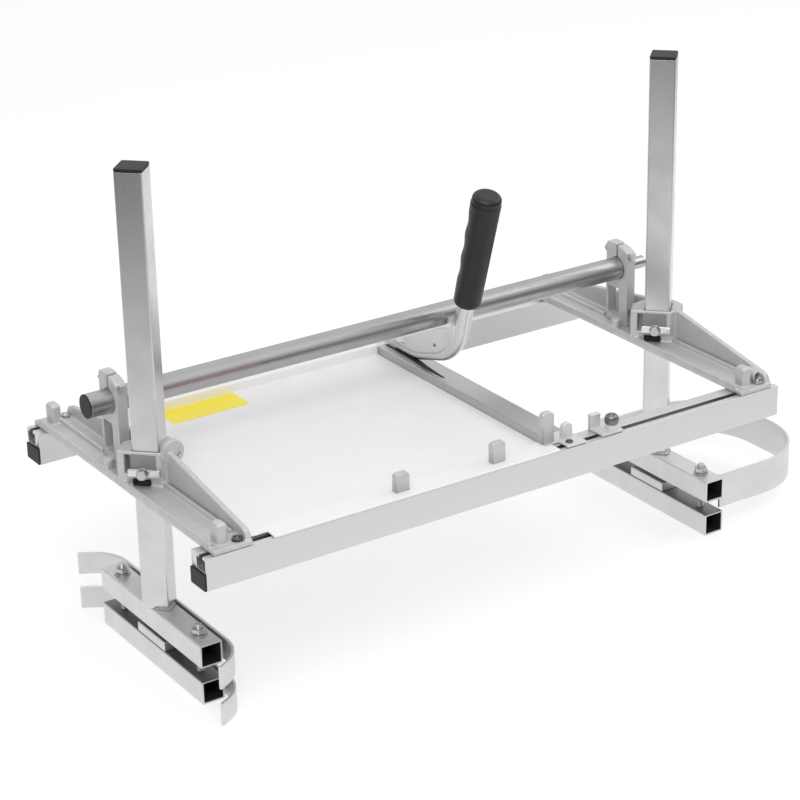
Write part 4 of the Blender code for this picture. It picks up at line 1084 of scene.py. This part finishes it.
sizes = np.column_stack([3.8 + 5.2 * share ** 0.8, 5.6 + 3.4 * share])  # across and along the web
tube = swept(circle(1.0, 40), path, SIDEWAYS, np.cross(SIDEWAYS, along), 0.05, 2, sizes)
piece("handle_bent_tube", [tube], "cross_bar", HANDLE_ZINC, "handle_tube")

web = [(152, 197.6), (149, 205), (101, 207), (72, 218), (48, 230), (33, 248), (22, 284), (28.5, 284),
       (36, 269), (46, 254), (68, 246.5), (150, 208.5), (166, 202.5), (172, 199.5), (172, 197.6)]
bends = [1.0, 1, 6, 8, 8, 6, 1, 1, 8, 8, 8, 3, 1, 0.8, 0.8]
web = rounded(np.array(web) + [AXIS_Y, 0], bends, 4)
hole = circle(2.6, 32, (73.6 + AXIS_Y, 227.0))
slit = np.array([(163, 204.9), (134, 215.2), (129, 213.6), (133, 209.4)]) + [AXIS_Y, 0]
cuts = [slab(outline, "X", -10, 10, 0.1) for outline in (hole, rounded(slit, 0.4, 3))]
plate = slab(web, "X", -2.9, 2.9, 1.0)
at = (BAR_X, 0, 0)
piece("handle_web", [plate], "cross_bar", WEB_ZINC, "handle_plate", at, cuts)
print("handle is", round(GRIP_HIGH[1] - RAIL_TOP, 1), "mm high above the rails")

# %% Grip
FINGERS, DEEP, WAVES_FROM, OVER_WAVES = 3, 1.7, 28, 20
ROUND_LOW, ROUND_HIGH = 3, 6  # radii of the grip's ends
length = np.linalg.norm(GRIP_HIGH - GRIP_LOW)
corner = np.linspace(0, np.pi / 2, 9)
middle = np.linspace(ROUND_LOW, length - ROUND_HIGH, 90)[1:-1]
rise = np.concatenate([ROUND_LOW - ROUND_LOW * np.cos(corner), middle,
                       length - ROUND_HIGH + ROUND_HIGH * np.sin(corner)])
base = np.concatenate([11 + ROUND_LOW * np.sin(corner), 14 + 1.6 * (middle / length),
                       9.6 + ROUND_HIGH * np.cos(corner)])
angle = np.arange(64) / 64 * 2 * np.pi
share = np.clip((rise - WAVES_FROM) / (length - OVER_WAVES - WAVES_FROM), 0, 1)
depth = DEEP * (1 - np.cos(2 * np.pi * FINGERS * share)) / 2
radius = base[:, None] - depth[:, None] * np.maximum(np.cos(angle), 0)[None] ** 0.7
radius += 0.7 * ((rise > 4) & (rise < length - 9))[:, None]  # raised between two low rims
back = np.array([0.0, axis_up[1], -axis_up[0]])
centre = np.column_stack([np.zeros(len(rise)), GRIP_LOW + rise[:, None] * axis_up])
around = np.cos(angle)[:, None] * back + np.sin(angle)[:, None] * SIDEWAYS
grip = shell(centre[:, None] + radius[..., None] * around)
piece("handle_rubber_grip", [grip], "cross_bar", GRIP_RUBBER, "handle_grip", at)
# a thin black sheet on the bar's top: painted shadow and reflection of the handle
handle_shadow = [(8.5, 156), (8, 119), (6.5, 92), (5.5, 63), (5.7, 46), (7.1, 36), (8.7, 54.5),
          (11.1, 79), (13.5, 92.7), (13.5, 156)]
handle_shadow = slab(rounded(handle_shadow, 0.3, 2), "Z", RAIL_TOP - 0.1, RAIL_TOP + 0.5, 0.1)
piece("painted_handle_shadow_sheet", [handle_shadow], "cross_bar", HANDLE_SHADOW_PAINT)
print("grip:", len(grip[1]), "faces")

# %% [markdown]
# ## Pegs, bar foot and stop
# Small castings and cut blocks: their outlines are rounded and extruded, and their edges
# broken by half a millimetre or more, as a vibrating tub of stones leaves them. The stop's
# knob is turned, with a knurl of shallow waves round it to hold it by.

# %% Pegs
SUNK = 2.5  # a peg is swept from this far under the rail, so that no soft edge shows at its foot
under = slab(rectangle((-30, -20), (30, 0), 0.1), "Y", -30, 30, 0.1)
for name, body, top, edge in (("peg_left", "frame", 3.5, 1.2), ("peg_right", "frame", 3.5, 1.2),
                              ("bar_peg", "cross_bar", 5.5, 2.0)):
    low, high = box_of(name)
    half = (high - low) / 2
    outline = rectangle((-half[0], 0), (half[0], 2 * half[2] + SUNK), [0.5, 0.5, top, top], 6)
    cap = slab(outline - [0, SUNK], "Y", -half[1], half[1], edge, 5)
    at = (*(low + half)[:2], low[2])
    piece(f"{name}_block", [cap], body, CASTING, name, at, [under])
print("the bar's peg is", round(2 * half[2], 1), "mm high")

# %% Foot of the cross bar
low, high = box_of("bar_foot")
step_x, step_y = low[0] + 19.0, lowest("bar_peg")[1] - 2.0
inner_x, inner_y = BAR_X - HALF, high[1] - 10
sole = [(step_x, low[1]), (high[0], low[1]), (high[0], high[1]), (inner_x, high[1]),
        (inner_x, inner_y), (low[0], inner_y), (low[0], step_y), (step_x, step_y)]
sole = slab(rounded(sole, [2, 2, 2, 1, 1, 1, 1, 1], 4), "Z", low[2], RAIL_TOP + 2.5, 0.6)
arch = rectangle((BAR_X - 5.1, RAIL_TOP + 1), (BAR_X + 7.5, high[2]), [0.4, 0.4, 6.0, 6.0], 8)
ear = slab(arch, "Y", AXIS_Y - 158.5, AXIS_Y - 152.5, 1.2, 4)
piece("bar_foot_plate", [sole, ear], "cross_bar", PALE_CASTING, "bar_foot")
at = (*centre_of("bar_bolt")[:2], RAIL_TOP)
ring = [(3.8, 2.6), (3.8, 3.5), (3.4, 4.0), (2.7, 4.0), (2.5, 3.8), (2.4, 2.9), (0.3, 2.8), (0.3, 2.6)]
shells = [turned(ring, loop=True), *in_slot(3.0, 3.0, 0.3)]
piece("bar_foot_screw", shells, "cross_bar", DARK_STEEL_AND_BOLT_SHADE, "bar_bolt", at)
print("the ear is", round(high[2] - RAIL_TOP, 1), "mm high")

# %% Stop on the front rail
low, high = box_of("slot_block")
sole = slab(rectangle(low[:2], high[:2], 1.5), "Z", low[2], RAIL_TOP + 3, 0.6)
block = rectangle((low[0], high[1] - 6), (low[0] + 12.5, high[1]), 1.4)
block = slab(block, "Z", RAIL_TOP + 1, high[2], 1.2, 4)
at = (*centre_of("slot_knob")[:2], RAIL_TOP)
collar = [(6.3, 2.8), (6.3, 8.3), (5.9, 8.8), (4.2, 8.9), (4.1, 2.8)]
collar = turned(collar, centre=at, loop=True)
shells = [sole, block, collar]
piece("slot_stop_block", shells, "slot_stop", PALE_CASTING, "slot_block")
profile = np.array([(2.9, 3.1), (3.6, 3.1), (3.7, 9.2), (6.6, 9.4), (7.2, 10.2), (7.4, 11.4),
                    (7.4, 14.6), (7.0, 16.2), (6.0, 17.8), (4.4, 18.9), (3.4, 18.9), (3.1, 18.2),
                    (3.0, 16.6), (0.4, 16.4)])
angle = np.arange(96) / 96 * 2 * np.pi
level = profile[:, 1:]
knurl = 1 - 0.03 * (1 + np.cos(16 * angle)) / 2 * ((level > 10) & (level < 17))
shells = [shell(lathed(profile[:, 1], profile[:, :1] * knurl)), *in_slot(2.9, 3.3, 0.2)]
piece("slot_stop_knob", shells, "slot_stop", KNOB_STEEL, "slot_knob", at)
print("knob", round(highest("slot_knob")[2] - RAIL_TOP, 1), "mm high")

# %% [markdown]
# ## Studio
# A product photograph stands on white paper under white light. So the world is white where the
# camera or a mirror sees it, and sheds a little less light than that. Two soft square lamps
# model the shapes, and the floor glows a little, so that it stays white under the frame and
# keeps only a soft shadow.

# %% Stage tools
def emptied(owner):
    """Empty node tree of a world or a material."""
    owner.use_nodes = True
    owner.node_tree.nodes.clear()
    return owner.node_tree


def ended(tree, kind, shader):
    """Gives a tree its output node, with this shader as its surface."""
    tree.links.new(shader, tree.nodes.new(kind).inputs["Surface"])


def by_sight(tree, unseen, seen):
    """First shader for light on its way to matt surfaces, second for what the eye meets:
    straight, in a mirror or through glass."""
    path = tree.nodes.new("ShaderNodeLightPath").outputs
    ray = path["Is Camera Ray"]
    for other in ("Is Glossy Ray", "Is Transmission Ray"):
        ray = maths(tree, "MAXIMUM", ray, path[other])
    return node(tree, "ShaderNodeMixShader", {0: ray, 1: unseen, 2: seen})


def lamp(name, place, aim, size, power):
    """Soft square lamp that shines from a place towards a point."""
    light = bpy.data.lights.new(name, "AREA")
    light.size = size
    light.energy = power
    back = unit(np.array(place, float) - aim)
    side = unit(np.cross([0, 0, 1.0], back) + [1e-6, 0, 0])
    turn = Matrix(np.column_stack([side, np.cross(back, side), back]).tolist()).to_4x4()
    added(name, light).matrix_world = Matrix.Translation(place) @ turn


print("stage tools ready")

# %% World, lamps and floor
WHITE = linear("#ffffff")
world = bpy.data.worlds.new("studio")
bpy.context.scene.world = world
tree = emptied(world)
soft = node(tree, "ShaderNodeBackground", {"Color": WHITE, "Strength": 0.7})
white = node(tree, "ShaderNodeBackground", {"Color": WHITE, "Strength": 1.0})
ended(tree, "ShaderNodeOutputWorld", by_sight(tree, soft, white))

lamp("key", (-1.2, -1.6, 2.4), (0, 0, 0.2), 1.6, 30.0)
lamp("fill", (2.2, -0.6, 1.8), (0, 0, 0.2), 1.8, 13.5)

floor = added("floor", bpy.data.meshes.new("floor"))
reach = 9.0
corners = [(-reach, -reach), (reach, -reach), (reach, reach), (-reach, reach)]
floor.data.from_pydata([(*corner, -0.001) for corner in corners], [], [(0, 1, 2, 3)])
floor.data.materials.append(bpy.data.materials.new("pale_floor"))
tree = emptied(floor.data.materials[0])
paint = node(tree, "ShaderNodeBsdfDiffuse", {"Color": linear("#b4b4b4")})
glow = node(tree, "ShaderNodeEmission", {"Color": WHITE, "Strength": 0.62})
pale = node(tree, "ShaderNodeAddShader", {0: paint, 1: glow})
plain = node(tree, "ShaderNodeBsdfDiffuse", {"Color": linear("#e6e6e6")})
ended(tree, "ShaderNodeOutputMaterial", by_sight(tree, plain, pale))
print("two lamps and a floor of", 2 * reach, "m")

# %% [markdown]
# ## A dark room for the metal to mirror
# White paper all round would leave bright metal as flat as plastic. A photographer therefore
# lets the dark room begin where the paper ends, so that upright faces shade from light at
# their feet to dark at their tops. Here the room is a bowl that only reflections see: on the
# floor it fades from white to dark grey, and up its wall and behind the frame it fades back
# towards white. It glows with its own colour, casts no shadow and sheds no light on matt
# surfaces.

# %% Dark bowl
BOWL_MIDDLE = (0.15, 0.25, 0.0)
PAPER_END, ROOM_WALL, WALL_TOP = 0.95, 2.6, 2.0
BACKWARDS = (0.545, 0.838, 0.0)
reach = np.repeat([[PAPER_END], [ROOM_WALL], [ROOM_WALL]], 96, axis=1)
places, quads, _ = shell(lathed(np.array([0.002, 0.002, WALL_TOP]), reach))
room = added("dark_room", bpy.data.meshes.new("dark_room"))
room.data.from_pydata((places + BOWL_MIDDLE).tolist(), [], quads.tolist())
room.data.materials.append(bpy.data.materials.new("dark_room"))
room.visible_camera = room.visible_diffuse = room.visible_shadow = False

tree = emptied(room.data.materials[0])
place = tree.nodes.new("ShaderNodeTexCoord").outputs["Object"]
flat = node(tree, "ShaderNodeVectorMath", {0: place, 1: (1.0, 1.0, 0.0)}, operation="MULTIPLY")
far = node(tree, "ShaderNodeVectorMath", {0: flat, 1: BOWL_MIDDLE}, operation="DISTANCE")
far = scaled(tree, far, PAPER_END, ROOM_WALL - 0.1, 1.0, 0.15, interpolation_type="SMOOTHSTEP")
high = node(tree, "ShaderNodeSeparateXYZ", {0: place}).node.outputs["Z"]
high = scaled(tree, high, 0.2, WALL_TOP, 0.0, 0.85)
behind = node(tree, "ShaderNodeVectorMath", {0: place, 1: BACKWARDS}, operation="DOT_PRODUCT")
behind = scaled(tree, behind, 0.6, 2.2, 0.0, 0.35)
tone = maths(tree, "ADD", maths(tree, "ADD", far, high), behind, use_clamp=True)
glow = node(tree, "ShaderNodeEmission", {"Color": tone, "Strength": 1.0})
ended(tree, "ShaderNodeOutputMaterial", glow)
bpy.context.scene.view_settings.view_transform = "Standard"
print("the room is", ROOM_WALL, "m away")
